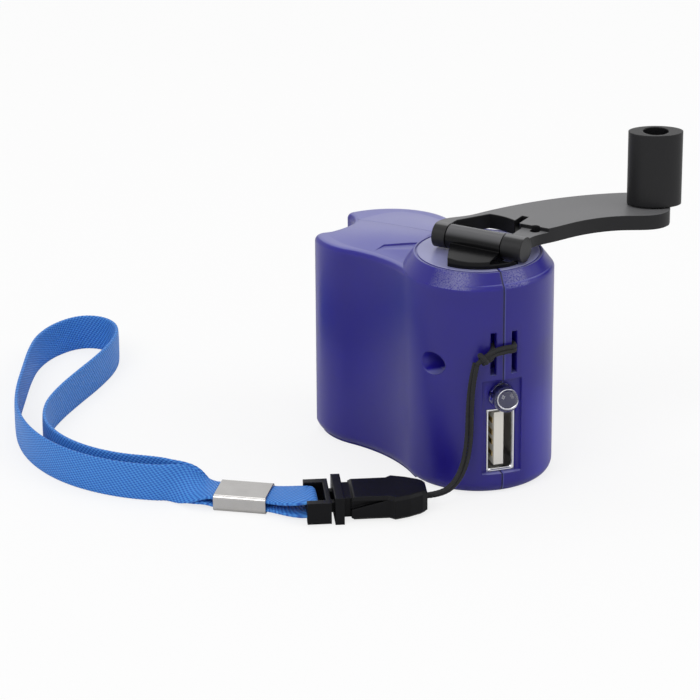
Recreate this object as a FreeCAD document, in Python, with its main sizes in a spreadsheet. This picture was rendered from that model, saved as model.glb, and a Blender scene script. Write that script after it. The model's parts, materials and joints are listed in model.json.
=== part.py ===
import FreeCAD, Part
import math
import os
from types import SimpleNamespace

import Sketcher
from FreeCAD import Placement, Rotation, Vector

# A pocket phone charger driven by a folding crank: a two-lobed plastic case holds a spur gear train,
# a small generator and a circuit board with a USB socket; a wrist strap hangs on a cord at the front.
#
# Frame: millimetres, Z up, the socket faces -Y. The origin is where the spindle axis meets the
# resting plane. The case has its own plan directions: "along" runs from the front lobe to the rear
# lobe, "across" runs to the left of it.

os.makedirs("parts", exist_ok=True)
doc = FreeCAD.newDocument("hand_crank_charger")

sizes = dict(
    # case
    case_height=45.65, case_wall=1.6, floor_wall=1.6, front_radius=14.9, rear_radius=14.6,
    lobe_spacing=28.5, lobe_turn=111.0, waist_radius=30.6, bottom_round=2.5,
    notch_radius=7.4, notch_along=42.9, notch_across=6.5, near_horn_round=2.4, far_horn_round=1.4,
    rim_radius=12.7, shoulder_drop=2.92, crown_drop=-0.15, roof_edge_drop=2.35, roof_fall=1.1,
    roof_round=1.2, ring_radius=12.0, ring_width=0.4, ring_depth=0.25,
    # socket, lamp and cord bar on the front
    flat_depth=1.2, flat_half_width=4.0, flat_low=4.3, flat_high=24.0,
    port_width=5.7, port_tall=13.1, port_low=4.5, port_depth=14.0, port_sheet=0.3, port_gap=0.15,
    tongue_thick=1.96, tongue_tall=11.1, tongue_offset=-0.12,
    lamp_radius=2.45, lamp_gap=0.45, lamp_reach=5.2,
    bar_low=25.2, bar_high=34.0, bar_left=-1.4, bar_right=1.7, bar_thick=1.5,
    recess_left=-2.6, recess_right=2.9, recess_depth=3.7,
    # case screw
    screw_back=-8.3, screw_lift=3.3, screw_boss=3.0, screw_head=2.1, screw_shank=1.1,
    # gearbox plates: the lid hangs under the roof, and the wheels share the room between the plates
    board_over=0.9, base_gap=0.4, base_thick=1.6, lid_drop=6.65, lid_thick=1.0, plate_gap=0.3,
    lid_inset=3.4,
    post_radius=1.5, post_screw=0.7,
    # gear train
    gear_module=0.5, gear_backlash=0.1, crank_teeth=48, one_wheel_teeth=36, one_pinion_teeth=10,
    two_wheel_teeth=28, two_pinion_teeth=12, rotor_teeth=10, one_across=1.2, two_across=1.0,
    axle_radius=0.8, run_gap=0.05, gear_share=0.1923, crank_gear_share=0.7756, one_wheel_share=0.391,
    two_wheel_share=0.0641,
    # spindle and its bearings
    spindle_radius=2.2, journal_radius=1.5, collar_radius=3.2, bush_radius=3.6, bush_flange=4.8,
    drive_square=3.1,
    # generator
    can_radius=8.2, can_low=6.8, can_wall=0.5, can_gap=0.3, shaft_radius=0.75,
    # crank, measured up from the top of the case
    crank_turn=-47.47, hinge_back=-2.1, hinge_lift=2.8, barrel_radius=2.45, ear_radius=2.5,
    hub_radius=10.9, hub_lift=0.12, hub_drum=4.6, arm_lift=2.25, arm_thick=3.0, pin_radius=0.8,
    hub_left=-5.0, hub_right=6.9, ear_gap=0.2, left_ear_end=-8.0, right_ear_end=11.4,
    knob_along=24.6, knob_out=27.7, knob_length=10.8, knob_width=6.6, knob_lift=5.55, knob_tall=14.9,
    knob_hole=2.55, stud_radius=1.9, stud_tall=6.1,
    # lanyard
    cord_diameter=1.7, web_width=7.6, web_thick=0.9,
    ferrule_length=11.7, ferrule_tall=3.4, ferrule_sheet=0.35,
    socket_length=15.0, buckle_width=12.0, buckle_tall=5.5, release_travel=12.0,
)

sheet = doc.addObject("Spreadsheet::Sheet", "Sizes")
for row, (alias, value) in enumerate(sizes.items(), start=1):
    sheet.set(f"A{row}", alias)
    sheet.set(f"B{row}", str(value))
    sheet.setAlias(f"B{row}", alias)
doc.recompute()


class Size:
    """A number that remembers the formula which gives it from the sheet."""

    def __init__(self, number, formula):
        self.number = number
        self.formula = formula

    @staticmethod
    def of(value):
        if isinstance(value, Size):
            return value
        return Size(float(value), f"({float(value):.6f})")

    def joined(self, other, sign, number):
        return Size(number, f"({self.formula} {sign} {other.formula})")

    def __add__(self, other):
        other = Size.of(other)
        return self.joined(other, "+", self.number + other.number)

    def __sub__(self, other):
        other = Size.of(other)
        return self.joined(other, "-", self.number - other.number)

    def __mul__(self, other):
        other = Size.of(other)
        return self.joined(other, "*", self.number * other.number)

    def __truediv__(self, other):
        other = Size.of(other)
        return self.joined(other, "/", self.number / other.number)

    def __neg__(self):
        return Size.of(0) - self

    def __radd__(self, other):
        return Size.of(other) + self

    def __rsub__(self, other):
        return Size.of(other) - self

    __rmul__ = __mul__

    def __float__(self):
        return self.number


# Every size, by name: tied to its cell in "s", and as a plain number in "v".
s = SimpleNamespace(**{name: Size(float(sheet.get(name)), "Sizes." + name) for name in sizes})

# Heights that follow the top of the case, then those that stack up from the socket.
s.shoulder_height = s.case_height - s.shoulder_drop
s.crown_height = s.case_height - s.crown_drop
s.roof_front_edge = s.case_height - s.roof_edge_drop
s.hinge_height = s.case_height + s.hinge_lift
s.arm_low = s.case_height + s.arm_lift
s.knob_low = s.case_height + s.knob_lift
s.lamp_height = s.port_low + s.port_tall + s.lamp_gap + s.lamp_radius
s.board_high = s.lamp_height + s.board_over
s.base_low = s.board_high + s.base_gap
s.base_top = s.base_low + s.base_thick
s.screw_height = s.base_top + s.screw_lift
s.lid_low = s.case_height - s.lid_drop
s.room = s.lid_low - s.base_top
s.gear_width = s.room * s.gear_share
s.crank_gear_low = s.base_top + s.room * s.crank_gear_share
s.one_wheel_low = s.base_top + s.room * s.one_wheel_share
s.two_wheel_low = s.base_top + s.room * s.two_wheel_share
v = SimpleNamespace(**{name: float(value) for name, value in vars(s).items()})

nodes = []


def node(item, label):
    """Names a sub-part; its label is the name of its file."""
    item.Label = label
    nodes.append(item)
    return item


def bind(item, prop, value):
    """Gives a property its value and ties it to the sheet."""
    value = Size.of(value)
    setattr(item, prop, value.number)
    item.setExpression(prop, value.formula)


def place(item, at, rotation=Rotation()):
    """Puts an object at a point whose coordinates follow the sheet."""
    at = [Size.of(value) for value in at]
    item.Placement = Placement(Vector(*[value.number for value in at]), rotation)
    for letter, value in zip("xyz", at):
        item.setExpression("Placement.Base." + letter, value.formula)
    return item


TO_X = Rotation(Vector(0, 1, 0), 90)
TO_Y = Rotation(Vector(1, 0, 0), -90)
UPRIGHT = Rotation()


def cylinder(name, radius, height, at=(0, 0, 0), rotation=UPRIGHT):
    item = doc.addObject("Part::Cylinder", name)
    bind(item, "Radius", radius)
    bind(item, "Height", height)
    return place(item, at, rotation)


def box(name, low, high):
    """A block between two corners."""
    low = [Size.of(value) for value in low]
    high = [Size.of(value) for value in high]
    item = doc.addObject("Part::Box", name)
    for prop, start, end in zip(("Length", "Width", "Height"), low, high):
        bind(item, prop, end - start)
    return place(item, low)


def fused(name, *items):
    item = doc.addObject("Part::MultiFuse", name)
    item.Shapes = list(items)
    return item


def cut(name, base, *tools):
    item = doc.addObject("Part::Cut", name)
    item.Base = base
    item.Tool = tools[0] if len(tools) == 1 else fused(name + "_tools", *tools)
    return item


def grouped(name, *items):
    item = doc.addObject("Part::Compound", name)
    item.Links = list(items)
    return item


def feature(label, shape, placement=Placement()):
    item = doc.addObject("Part::Feature", label)
    item.Shape = shape
    item.Placement = placement
    return node(item, label)


def origin_plane(body, role):
    return next(plane for plane in body.Origin.OriginFeatures if plane.Role == role)


def polygon_sketch(body, name, role, corners):
    """A closed sketch whose corners are held by the sheet."""
    sketch = body.newObject("Sketcher::SketchObject", name)
    sketch.AttachmentSupport = [(origin_plane(body, role), "")]
    sketch.MapMode = "FlatFace"
    corners = [(Size.of(first), Size.of(second)) for first, second in corners]
    points = [Vector(first.number, second.number, 0) for first, second in corners]
    count = len(points)
    for index in range(count):
        sketch.addGeometry(Part.LineSegment(points[index], points[(index + 1) % count]), False)
    for index in range(count):
        sketch.addConstraint(Sketcher.Constraint("Coincident", index, 2, (index + 1) % count, 1))
    for index, corner in enumerate(corners):
        for kind, axis, value in (("DistanceX", -2, corner[0]), ("DistanceY", -1, corner[1])):
            if value.number == 0.0:
                sketch.addConstraint(Sketcher.Constraint("PointOnObject", index, 1, axis))
                continue
            row = sketch.addConstraint(Sketcher.Constraint(kind, -1, 1, index, 1, value.number))
            sketch.setExpression(f"Constraints[{row}]", value.formula)
    return sketch


def turned(name, profile):
    """A body turned about Z from a profile of (radius, height) corners."""
    body = doc.addObject("PartDesign::Body", name)
    sketch = polygon_sketch(body, name + "_profile", "XZ_Plane", profile)
    turn = body.newObject("PartDesign::Revolution", name + "_turn")
    turn.Profile = sketch
    turn.ReferenceAxis = (sketch, ["V_Axis"])
    turn.Angle = 360
    return body


# ------------------------------------------------------------------ plan of the case
TURN = math.radians(v.lobe_turn)


def plan(along, across, height=0.0):
    """A point of the case plan, in the part frame."""
    x = math.cos(TURN) * along - math.sin(TURN) * across
    y = math.sin(TURN) * along + math.cos(TURN) * across
    return Vector(x, y, height)


def arc(centre, radius, start, middle, end):
    """An arc about a plan point, through three directions in degrees."""
    ends = [math.radians(angle) for angle in (start, middle, end)]
    return Part.Arc(*[plan(centre[0] + radius * math.cos(angle), centre[1] + radius * math.sin(angle))
                      for angle in ends]).toShape()


def waist_centre(inset=0.0):
    """Where the hollow side arcs are centred: they touch both lobes."""
    to_front = v.front_radius + v.waist_radius
    to_rear = v.rear_radius + v.waist_radius
    along = (v.lobe_spacing ** 2 + to_front ** 2 - to_rear ** 2) / (2 * v.lobe_spacing)
    return along, math.sqrt(to_front ** 2 - along ** 2)


WAIST_ALONG, WAIST_ACROSS = waist_centre()
FRONT_TOUCH = math.degrees(math.atan2(WAIST_ACROSS, WAIST_ALONG))
REAR_TOUCH = math.degrees(math.atan2(WAIST_ACROSS, WAIST_ALONG - v.lobe_spacing))


def half_width(along):
    """Half the width of the case at a place along it."""
    if along > v.lobe_spacing:
        return v.rear_radius
    along = max(along, v.lobe_spacing / 2 - abs(along - v.lobe_spacing / 2))
    touch = v.lobe_spacing + v.rear_radius * math.cos(math.radians(REAR_TOUCH))
    if along > touch:
        return math.sqrt(v.rear_radius ** 2 - (along - v.lobe_spacing) ** 2)
    return WAIST_ACROSS - math.sqrt(v.waist_radius ** 2 - (along - WAIST_ALONG) ** 2)


def two_lobes(inset, low, high):
    """The case plan, drawn in by an inset, as a solid between two heights."""
    front = v.front_radius - inset
    rear = v.rear_radius - inset
    waist = v.waist_radius + inset
    back = REAR_TOUCH + 180
    edges = [
        arc((0, 0), front, FRONT_TOUCH, 180, 360 - FRONT_TOUCH),
        arc((WAIST_ALONG, -WAIST_ACROSS), waist, 180 - FRONT_TOUCH, 90, 180 - REAR_TOUCH),
        arc((v.lobe_spacing, 0), rear, -REAR_TOUCH, 0, REAR_TOUCH),
        arc((WAIST_ALONG, WAIST_ACROSS), waist, back, 270, FRONT_TOUCH + 180),
    ]
    face = Part.Face(Part.Wire(Part.__sortEdges__(edges)))
    face.translate(Vector(0, 0, low))
    return face.extrude(Vector(0, 0, high - low))


def round_bar(centre, radius, low, high):
    return Part.makeCylinder(radius, high - low, plan(centre[0], centre[1], low))


# ------------------------------------------------------------------ roof of the case
CROWN_START = 12.5
CROWN_REACH = 31.5
CROWN_FALL = 5.2
DOME_SINK = 0.3
FACET_TIP = (18.8, 8.5)


def crown(along):
    """Height of the dome along its middle: level behind the disc, then falling to the rear."""
    share = max(0.0, along - CROWN_START) / CROWN_REACH
    return v.crown_height - CROWN_FALL * share ** 1.15


def eaves(along):
    """Height of the flat border of the roof, which falls gently to the rear."""
    return v.roof_front_edge - v.roof_fall * along / v.lobe_spacing


def dome_height(along, share):
    foot = eaves(along) - DOME_SINK
    return foot + (crown(along) - foot) * (1 - min(abs(share), 1) ** 3) ** 2


def under_dome(drop):
    """Everything below the domed middle of the roof, lowered by a wall."""
    rows = []
    for along in (3, 7, 11, 15, 20, 25, 30, 35, 40, 47):
        row = []
        for share in (-1.3, -1.0, -0.66, -0.33, 0, 0.33, 0.66, 1.0, 1.3):
            row.append(plan(along, share * half_width(along), dome_height(along, share) - drop))
        rows.append(row)
    surface = Part.BSplineSurface()
    surface.interpolate(rows)
    return surface.toShape().extrude(Vector(0, 0, -v.case_height - 5))


def above_eaves(drop):
    """What lies above the sloping border of the roof, lowered by a wall."""
    ends = []
    for along in (-30, 70):
        corners = [plan(along, across, eaves(along) - drop + lift)
                   for across, lift in ((-30, 0), (30, 0), (30, 30), (-30, 30))]
        ends.append(Part.makePolygon(corners + corners[:1]))
    return Part.makeLoft(ends, True, True)


def facet_cutter(side, drop):
    """What lies above the flat facet between the disc and the side wall."""
    wires = []
    for lift in (0, 20):
        points = [plan(along, side * across, facet_height(along, across) - drop + lift)
                  for along, across in ((3.5, 1.8), FACET_TIP, (20, 17), (3.5, 17))]
        wires.append(Part.makePolygon(points + points[:1]))
    return Part.makeLoft(wires, True, True)


def facet_height(along, across):
    """The facet is a plane that falls from the disc to its tip and to the wall."""
    return v.case_height - 0.05 - 0.145 * (along - 9.2) - 0.23 * (across - 4.3)


def turret(inset):
    """The raised round front of the roof with its sloped shoulder."""
    slope = v.case_height - v.shoulder_height
    column = Part.makeCylinder(v.front_radius - inset, v.shoulder_height - inset + 5, Vector(0, 0, -5))
    cone = Part.makeCone(v.front_radius - inset, v.rim_radius - inset, slope,
                         Vector(0, 0, v.shoulder_height - inset))
    return column.fuse(cone)


def bordered(body, inset):
    """The walls up to the border of the roof, with the outer edge rounded."""
    walls = body.cut(above_eaves(inset))
    if inset > 0:
        return walls
    rim = [edge for edge in walls.Edges if edge.BoundBox.ZMin > eaves(70) and not is_upright(edge)]
    return walls.makeFillet(v.roof_round, rim)


def is_upright(edge):
    box_of = edge.BoundBox
    return box_of.ZLength > math.hypot(box_of.XLength, box_of.YLength)


def case_solid(inset, low):
    """The case filled in: the two-lobed plan with its notch for the folded knob, and its roof."""
    top = v.case_height + 4
    notch = round_bar((v.notch_along, v.notch_across), v.notch_radius + inset, low - 1, top + 1)
    body = two_lobes(inset, low, top).cut(notch)
    if inset == 0:
        for side, radius in ((1, v.near_horn_round), (-1, v.far_horn_round)):
            body = body.makeFillet(radius, [edge for edge in body.Edges if is_horn(edge, side)])
        block = two_lobes(0, low, top)
        foot = [edge for edge in block.Edges if edge.BoundBox.ZMax < low + 0.01]
        body = body.common(block.makeFillet(v.bottom_round, foot))
    clear = Part.makeCylinder(v.rim_radius + 0.3 - inset, 10, Vector(0, 0, v.case_height - inset))
    border = inset + v.roof_round
    dome = two_lobes(border, low, top).common(under_dome(inset))
    dome = dome.cut([clear, round_bar((v.notch_along, v.notch_across), v.notch_radius + border, low, top)]
                    + [facet_cutter(side, inset) for side in (1, -1)])
    return bordered(body, inset).fuse([dome, body.common(turret(inset))])


def is_horn(edge, side):
    """True for the upright edge where the notch meets the rear lobe, left or right of it."""
    middle = edge.BoundBox.Center
    across = -math.sin(TURN) * middle.x + math.cos(TURN) * middle.y
    circles = ((v.notch_along, v.notch_across, v.notch_radius), (v.lobe_spacing, 0, v.rear_radius))
    if edge.BoundBox.ZLength < v.case_height / 2:
        return False
    on_both = all(abs((middle - plan(along, left, middle.z)).Length - radius) < 0.05
                  for along, left, radius in circles)
    return on_both and side * (across - v.notch_across) > 0


# ------------------------------------------------------------------ places inside
def gear_distance(first_teeth, second_teeth):
    return v.gear_module * (first_teeth + second_teeth) / 2


def beside(start, distance, across, sign):
    """The plan point at a distance from another, at a given place across."""
    step = math.sqrt(distance ** 2 - (across - start[1]) ** 2)
    return start[0] + sign * step, across


ONE = beside((0, 0), gear_distance(v.crank_teeth, v.one_pinion_teeth), v.one_across, 1)
TWO = beside(ONE, gear_distance(v.one_wheel_teeth, v.two_pinion_teeth), v.two_across, 1)
CAN_ACROSS = v.can_radius + v.can_gap + v.case_wall - half_width(WAIST_ALONG)
ROTOR = beside(TWO, gear_distance(v.two_wheel_teeth, v.rotor_teeth), CAN_ACROSS, -1)
POSTS = ((23.5, -8.2), (30.6, 9.4), (35.5, -6.5))
BASE_TOP = v.base_top
FLAT_FACE = v.front_radius - v.flat_depth
RECESS_BACK = v.front_radius - v.recess_depth
PAD_BACK = FLAT_FACE - 1.4


def block(low, high):
    size = [end - start for start, end in zip(low, high)]
    return Part.makeBox(*size, Vector(*low))


def cross_bar(radius, start, end):
    """A round bar along X on the axis of the case screw."""
    return Part.makeCylinder(radius, end - start, Vector(start, v.screw_back, v.screw_height),
                             Vector(1, 0, 0))


def front_bar(radius, height, start, end):
    """A round bar along Y in the seam plane."""
    return Part.makeCylinder(radius, end - start, Vector(0, start, height), Vector(0, 1, 0))


def rim_groove():
    """The thin ring sunk into the top just inside its rim."""
    low = v.case_height - v.ring_depth
    outer = Part.makeCylinder(v.ring_radius + v.ring_width, 1, Vector(0, 0, low))
    return outer.cut(Part.makeCylinder(v.ring_radius, 1, Vector(0, 0, low)))


# ------------------------------------------------------------------ the two case halves
def case_shell():
    """The whole case before it is parted: walls, bosses and every opening."""
    filled = case_solid(0, 0)
    shell = filled.cut(case_solid(v.case_wall, v.floor_wall))
    front = -v.front_radius
    screw_reach = 2 * v.front_radius
    port_half = v.port_width / 2 + v.port_gap
    pad = block((-5.2, -PAD_BACK - 1.4, v.flat_low - 1), (5.2, -PAD_BACK, v.flat_high))
    pocket = block((v.recess_left - 1, front, v.bar_low - 1),
                   (v.recess_right + 1, -RECESS_BACK + 1, v.bar_high + 1))
    ledge = two_lobes(v.case_wall, v.base_low - 1.5, v.base_low)
    ledge = ledge.cut(two_lobes(v.case_wall + 1.4, v.base_low - 2, v.base_low + 1))
    ledge = ledge.cut(round_bar(ROTOR, v.can_radius + 0.3, 0, v.base_low + 1))
    ledge = ledge.cut(block((-6, front, 0), (6, -8, v.base_low + 1)))
    cradle = round_bar(ROTOR, v.can_radius - 1, v.floor_wall, v.can_low - 1.2)
    cradle = cradle.cut(round_bar(ROTOR, v.can_radius - 2.4, v.floor_wall, v.can_low))
    boss = cross_bar(v.screw_boss, -screw_reach / 2, screw_reach / 2)
    rails = block((BOARD_LEFT - 1.2, -6, v.floor_wall), (BOARD_LEFT - 0.1, -4, v.floor_wall + 2))
    inside = pad.fuse([pocket, ledge, cradle, boss, rails]).common(filled)
    shell = shell.fuse(inside)

    bar_front = block((v.bar_left, front, v.bar_low), (v.bar_right, front + v.bar_thick, v.bar_high))
    slots = block((v.recess_left, front - 1, v.bar_low), (v.recess_right, -RECESS_BACK, v.bar_high))
    holes = [
        slots.cut(bar_front.common(filled)),
        block((-v.flat_half_width, front - 1, v.flat_low), (v.flat_half_width, -FLAT_FACE, v.flat_high)),
        block((-port_half, front - 1, v.port_low - v.port_gap),
              (port_half, -PAD_BACK + 0.1, v.port_low + v.port_tall + v.port_gap)),
        front_bar(v.lamp_radius + 0.1, v.lamp_height, front - 1, -PAD_BACK + 0.1),
        Part.makeCylinder(v.bush_radius, 5, Vector(0, 0, v.case_height - 3)),
        rim_groove(),
        cross_bar(v.screw_head + 0.2, -screw_reach, -HEAD_SEAT),
        cross_bar(v.screw_shank + 0.1, -screw_reach, 0),
        cross_bar(v.screw_shank, 0, SCREW_END + 0.3),
    ]
    return shell.cut(holes)


BOARD_RIGHT = -v.port_width / 2 - 0.1
BOARD_LEFT = BOARD_RIGHT - 1.5
BOARD_BACK = 3.1
HEAD_SEAT = 7.0
SCREW_END = 6.5

shell = case_shell()
far = 80.0
left_side = Part.Face(Part.makePolygon([
    Vector(0, -far, -1), Vector(0, 0, -1), plan(far, 0, -1), plan(far, far, -1), Vector(-far, -far, -1),
    Vector(0, -far, -1)])).extrude(Vector(0, 0, v.case_height + 10))
feature("left_case", shell.common(left_side))
feature("right_case", shell.cut(left_side))

head_tall = 1.4
screw_head = cylinder("case_screw_head", s.screw_head, head_tall,
                      (-HEAD_SEAT - head_tall, s.screw_back, s.screw_height), TO_X)
screw_shank = cylinder("case_screw_shank", s.screw_shank, HEAD_SEAT + SCREW_END,
                       (-HEAD_SEAT, s.screw_back, s.screw_height), TO_X)
screw_slot = box("case_screw_slot", (-HEAD_SEAT - head_tall, s.screw_back - 1.3, s.screw_height - 0.2),
                 (-HEAD_SEAT - head_tall + 0.7, s.screw_back + 1.3, s.screw_height + 0.2))
node(cut("case_screw_body", fused("case_screw_blank", screw_head, screw_shank), screw_slot), "case_screw")

# ------------------------------------------------------------------ spindle and its bearings
bore = s.spindle_radius + s.run_gap
ceiling = s.case_height - s.case_wall
flange_low = ceiling - 0.8
node(turned("bush", [(bore, flange_low), (s.bush_flange, flange_low), (s.bush_flange, ceiling),
                     (s.bush_radius, ceiling), (s.bush_radius, s.case_height), (bore, s.case_height)]),
     "spindle_bush")

lid_top = s.lid_low + s.lid_thick
collar_low = lid_top + 0.8
node(turned("washer", [(bore, lid_top + 0.02), (4.2, lid_top + 0.02), (4.2, collar_low - 0.05),
                       (bore, collar_low - 0.05)]), "thrust_washer")

base_top = s.base_top
drive_low = s.case_height + 0.02
shaft = turned("spindle_shaft", [
    (0, s.base_low), (s.journal_radius, s.base_low), (s.journal_radius, base_top + s.run_gap),
    (s.spindle_radius, base_top + s.run_gap), (s.spindle_radius, collar_low),
    (s.collar_radius, collar_low), (s.collar_radius, flange_low - s.run_gap),
    (s.spindle_radius, flange_low - s.run_gap), (s.spindle_radius, drive_low), (0, drive_low)])
drive_top = s.case_height + 1.7
drive = box("spindle_drive", (-s.drive_square / 2, -s.drive_square / 2, drive_low - 0.5),
            (s.drive_square / 2, s.drive_square / 2, drive_top))
node(fused("spindle_body", shaft, drive), "spindle")


# ------------------------------------------------------------------ gears
def involute(base, reach, points=6):
    """Points of an involute from its base circle out to a radius, as (radius, angle)."""
    last = math.sqrt((reach / base) ** 2 - 1)
    steps = [last * index / (points - 1) for index in range(points)]
    return [(base * math.hypot(1, step), step - math.atan(step)) for step in steps]


def gear_plan(teeth):
    """The toothed outline of a spur gear: involute flanks, round tips and a plain root."""
    teeth = int(teeth)
    pressure = math.radians(25)
    pitch = v.gear_module * teeth / 2
    base = pitch * math.cos(pressure)
    tip = pitch + 0.8 * v.gear_module
    root = pitch - 1.0 * v.gear_module
    half_tooth = math.pi / (2 * teeth) - v.gear_backlash / (4 * pitch)
    flank_start = half_tooth + math.tan(pressure) - pressure

    def point(radius, angle):
        return Vector(radius * math.cos(angle), radius * math.sin(angle), 0)

    flank = [(radius, flank_start - angle) for radius, angle in involute(base, tip) if radius > root]
    flank = [(root, flank[0][1])] + flank
    edges = []
    for tooth in range(teeth):
        middle = 2 * math.pi * tooth / teeth
        rise = [point(radius, middle - angle) for radius, angle in flank]
        fall = [point(radius, middle + angle) for radius, angle in reversed(flank)]
        next_root = point(root, middle + 2 * math.pi / teeth - flank[0][1])
        valley = point(root, middle + math.pi / teeth)
        edges.append(Part.LineSegment(rise[0], rise[1]).toShape())
        edges.append(flank_curve(rise[1:]))
        edges.append(Part.Arc(rise[-1], point(tip, middle), fall[0]).toShape())
        edges.append(flank_curve(fall[:-1]))
        edges.append(Part.LineSegment(fall[-2], fall[-1]).toShape())
        edges.append(Part.Arc(fall[-1], valley, next_root).toShape())
    return Part.Face(Part.Wire(edges))


def flank_curve(points):
    curve = Part.BSplineCurve()
    curve.interpolate(points)
    return curve.toShape()


def toothed(teeth, low, high):
    face = gear_plan(teeth)
    face.translate(Vector(0, 0, low))
    return face.extrude(Vector(0, 0, high - low))


def drum(radius, low, high):
    return Part.makeCylinder(radius, high - low, Vector(0, 0, low))


def spokes(solid, count, ring, radius, low, high):
    """Round windows that lighten a wheel's web."""
    for index in range(count):
        angle = 2 * math.pi * (index + 0.5) / count
        centre = Vector(ring * math.cos(angle), ring * math.sin(angle), low)
        solid = solid.cut(Part.makeCylinder(radius, high - low, centre))
    return solid


def mesh_turn(driver_turn, driver, follower, driver_teeth, follower_teeth):
    """How far a follower is turned so that its gap meets the driver's tooth (degrees)."""
    start = plan(*driver)
    end = plan(*follower)
    line = math.degrees(math.atan2(end.y - start.y, end.x - start.x))
    return line + 180 + (line - driver_turn) * driver_teeth / follower_teeth + 180 / follower_teeth


crank_gear_top = v.crank_gear_low + v.gear_width
wheel = toothed(v.crank_teeth, v.crank_gear_low, crank_gear_top)
wheel = spokes(wheel, 6, 7.4, 2.2, v.crank_gear_low, crank_gear_top)
wheel = wheel.fuse(drum(3.8, v.crank_gear_low - 1, crank_gear_top + 0.3))
feature("crank_gear", wheel.cut(drum(v.spindle_radius, 0, v.case_height)))

axle_bore = v.axle_radius + v.run_gap
gear_foot = BASE_TOP + 0.1
gear_head = v.lid_low - 0.1
one_turn = mesh_turn(0, (0, 0), ONE, v.crank_teeth, v.one_pinion_teeth)
two_turn = mesh_turn(one_turn, ONE, TWO, v.one_wheel_teeth, v.two_pinion_teeth)
rotor_turn = mesh_turn(two_turn, TWO, ROTOR, v.two_wheel_teeth, v.rotor_teeth)
wheel_top = v.one_wheel_low + v.gear_width
wheel = spokes(toothed(v.one_wheel_teeth, v.one_wheel_low, wheel_top), 5, 5.4, 1.6,
               v.one_wheel_low, wheel_top)
wheel = wheel.fuse([drum(1.6, gear_foot, v.one_wheel_low), drum(1.9, wheel_top, v.crank_gear_low),
                    toothed(v.one_pinion_teeth, v.crank_gear_low - 0.3, gear_head)])
feature("gear_one", wheel.cut(drum(axle_bore, 0, v.case_height)),
        Placement(plan(*ONE), Rotation(Vector(0, 0, 1), one_turn)))

wheel_top = v.two_wheel_low + v.gear_width
wheel = spokes(toothed(v.two_wheel_teeth, v.two_wheel_low, wheel_top), 5, 4.4, 1.2,
               v.two_wheel_low, wheel_top)
wheel = wheel.fuse([drum(2.0, gear_foot, v.two_wheel_low), drum(2.3, wheel_top, v.one_wheel_low),
                    toothed(v.two_pinion_teeth, v.one_wheel_low - 0.3, v.one_wheel_low + v.gear_width + 0.3),
                    drum(1.7, v.one_wheel_low + v.gear_width, gear_head)])
feature("gear_two", wheel.cut(drum(axle_bore, 0, v.case_height)),
        Placement(plan(*TWO), Rotation(Vector(0, 0, 1), two_turn)))

for label, where in (("axle_one", ONE), ("axle_two", TWO)):
    centre = plan(*where)
    node(cylinder(label + "_pin", s.axle_radius, lid_top - s.base_low, (centre.x, centre.y, s.base_low)),
         label)

# ------------------------------------------------------------------ gearbox plates
base = two_lobes(v.case_wall + v.plate_gap, v.base_low, BASE_TOP)
base = base.cut(round_bar((v.notch_along, v.notch_across), v.notch_radius + v.case_wall + v.plate_gap,
                          v.base_low, BASE_TOP))
base = base.cut([block((-20, -20, v.base_low - 1), (20, -9, BASE_TOP + 1)),
                 block((BOARD_LEFT - 0.3, -10, v.base_low - 1),
                       (BOARD_RIGHT + 0.3, BOARD_BACK + 0.3, BASE_TOP + 1))])
base = base.fuse([round_bar(post, v.post_radius, BASE_TOP, v.lid_low) for post in POSTS])
base = base.cut([round_bar(post, v.post_screw, BASE_TOP + 5, v.lid_low) for post in POSTS]
                + [round_bar(where, v.axle_radius, v.base_low, BASE_TOP) for where in (ONE, TWO)]
                + [round_bar((0, 0), v.journal_radius + v.run_gap, v.base_low, BASE_TOP),
                   round_bar(ROTOR, 3.0, v.base_low, BASE_TOP)])
feature("gearbox_base", base)

LID_TOP = v.lid_low + v.lid_thick
lid = two_lobes(v.lid_inset, v.lid_low, LID_TOP)
lid = lid.cut(round_bar((v.notch_along, v.notch_across), v.notch_radius + v.lid_inset,
                        v.lid_low, LID_TOP))
lid = lid.cut([round_bar(where, v.axle_radius, v.lid_low, LID_TOP) for where in (ONE, TWO)]
              + [round_bar((0, 0), v.spindle_radius + v.run_gap, v.lid_low, LID_TOP)])
sunk = 0.7
for post in POSTS:
    centre = plan(post[0], post[1], LID_TOP - sunk)
    lid = lid.cut(Part.makeCone(v.post_screw, v.post_screw + sunk, sunk, centre))
    lid = lid.cut(round_bar(post, v.post_screw, v.lid_low, LID_TOP))
feature("gearbox_lid", lid)

lid_screws = []
for number, post in enumerate(POSTS, start=1):
    centre = plan(*post)
    screw = turned(f"lid_screw_{number}", [
        (0, lid_top - 6), (s.post_screw, lid_top - 6), (s.post_screw, lid_top - sunk),
        (s.post_screw + sunk, lid_top), (0, lid_top)])
    lid_screws.append(place(screw, (centre.x, centre.y, 0)))
node(grouped("lid_screws", *lid_screws), "gearbox_screws")

# ------------------------------------------------------------------ generator
gen = plan(*ROTOR)


def at_generator(body):
    return place(body, (gen.x, gen.y, 0))


can_inner = s.can_radius - s.can_wall
can_top = s.base_low - 0.02
nose_top = base_top - 0.4
node(at_generator(turned("can", [
    (1.2, can_top - s.can_wall), (can_inner, can_top - s.can_wall), (can_inner, s.can_low),
    (s.can_radius, s.can_low), (s.can_radius, can_top), (2.9, can_top), (2.9, nose_top),
    (1.2, nose_top)])), "generator_can")
cap_low = s.can_low - 1.2
node(at_generator(turned("cap", [
    (s.shaft_radius + s.run_gap, cap_low), (s.can_radius, cap_low), (s.can_radius, s.can_low),
    (can_inner, s.can_low), (can_inner, s.can_low + 1.4), (s.shaft_radius + s.run_gap, s.can_low + 1.4)])),
    "generator_cap")

magnet_low = v.can_low + 2.6
magnet_tall = v.base_low - magnet_low - 2.4


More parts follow.
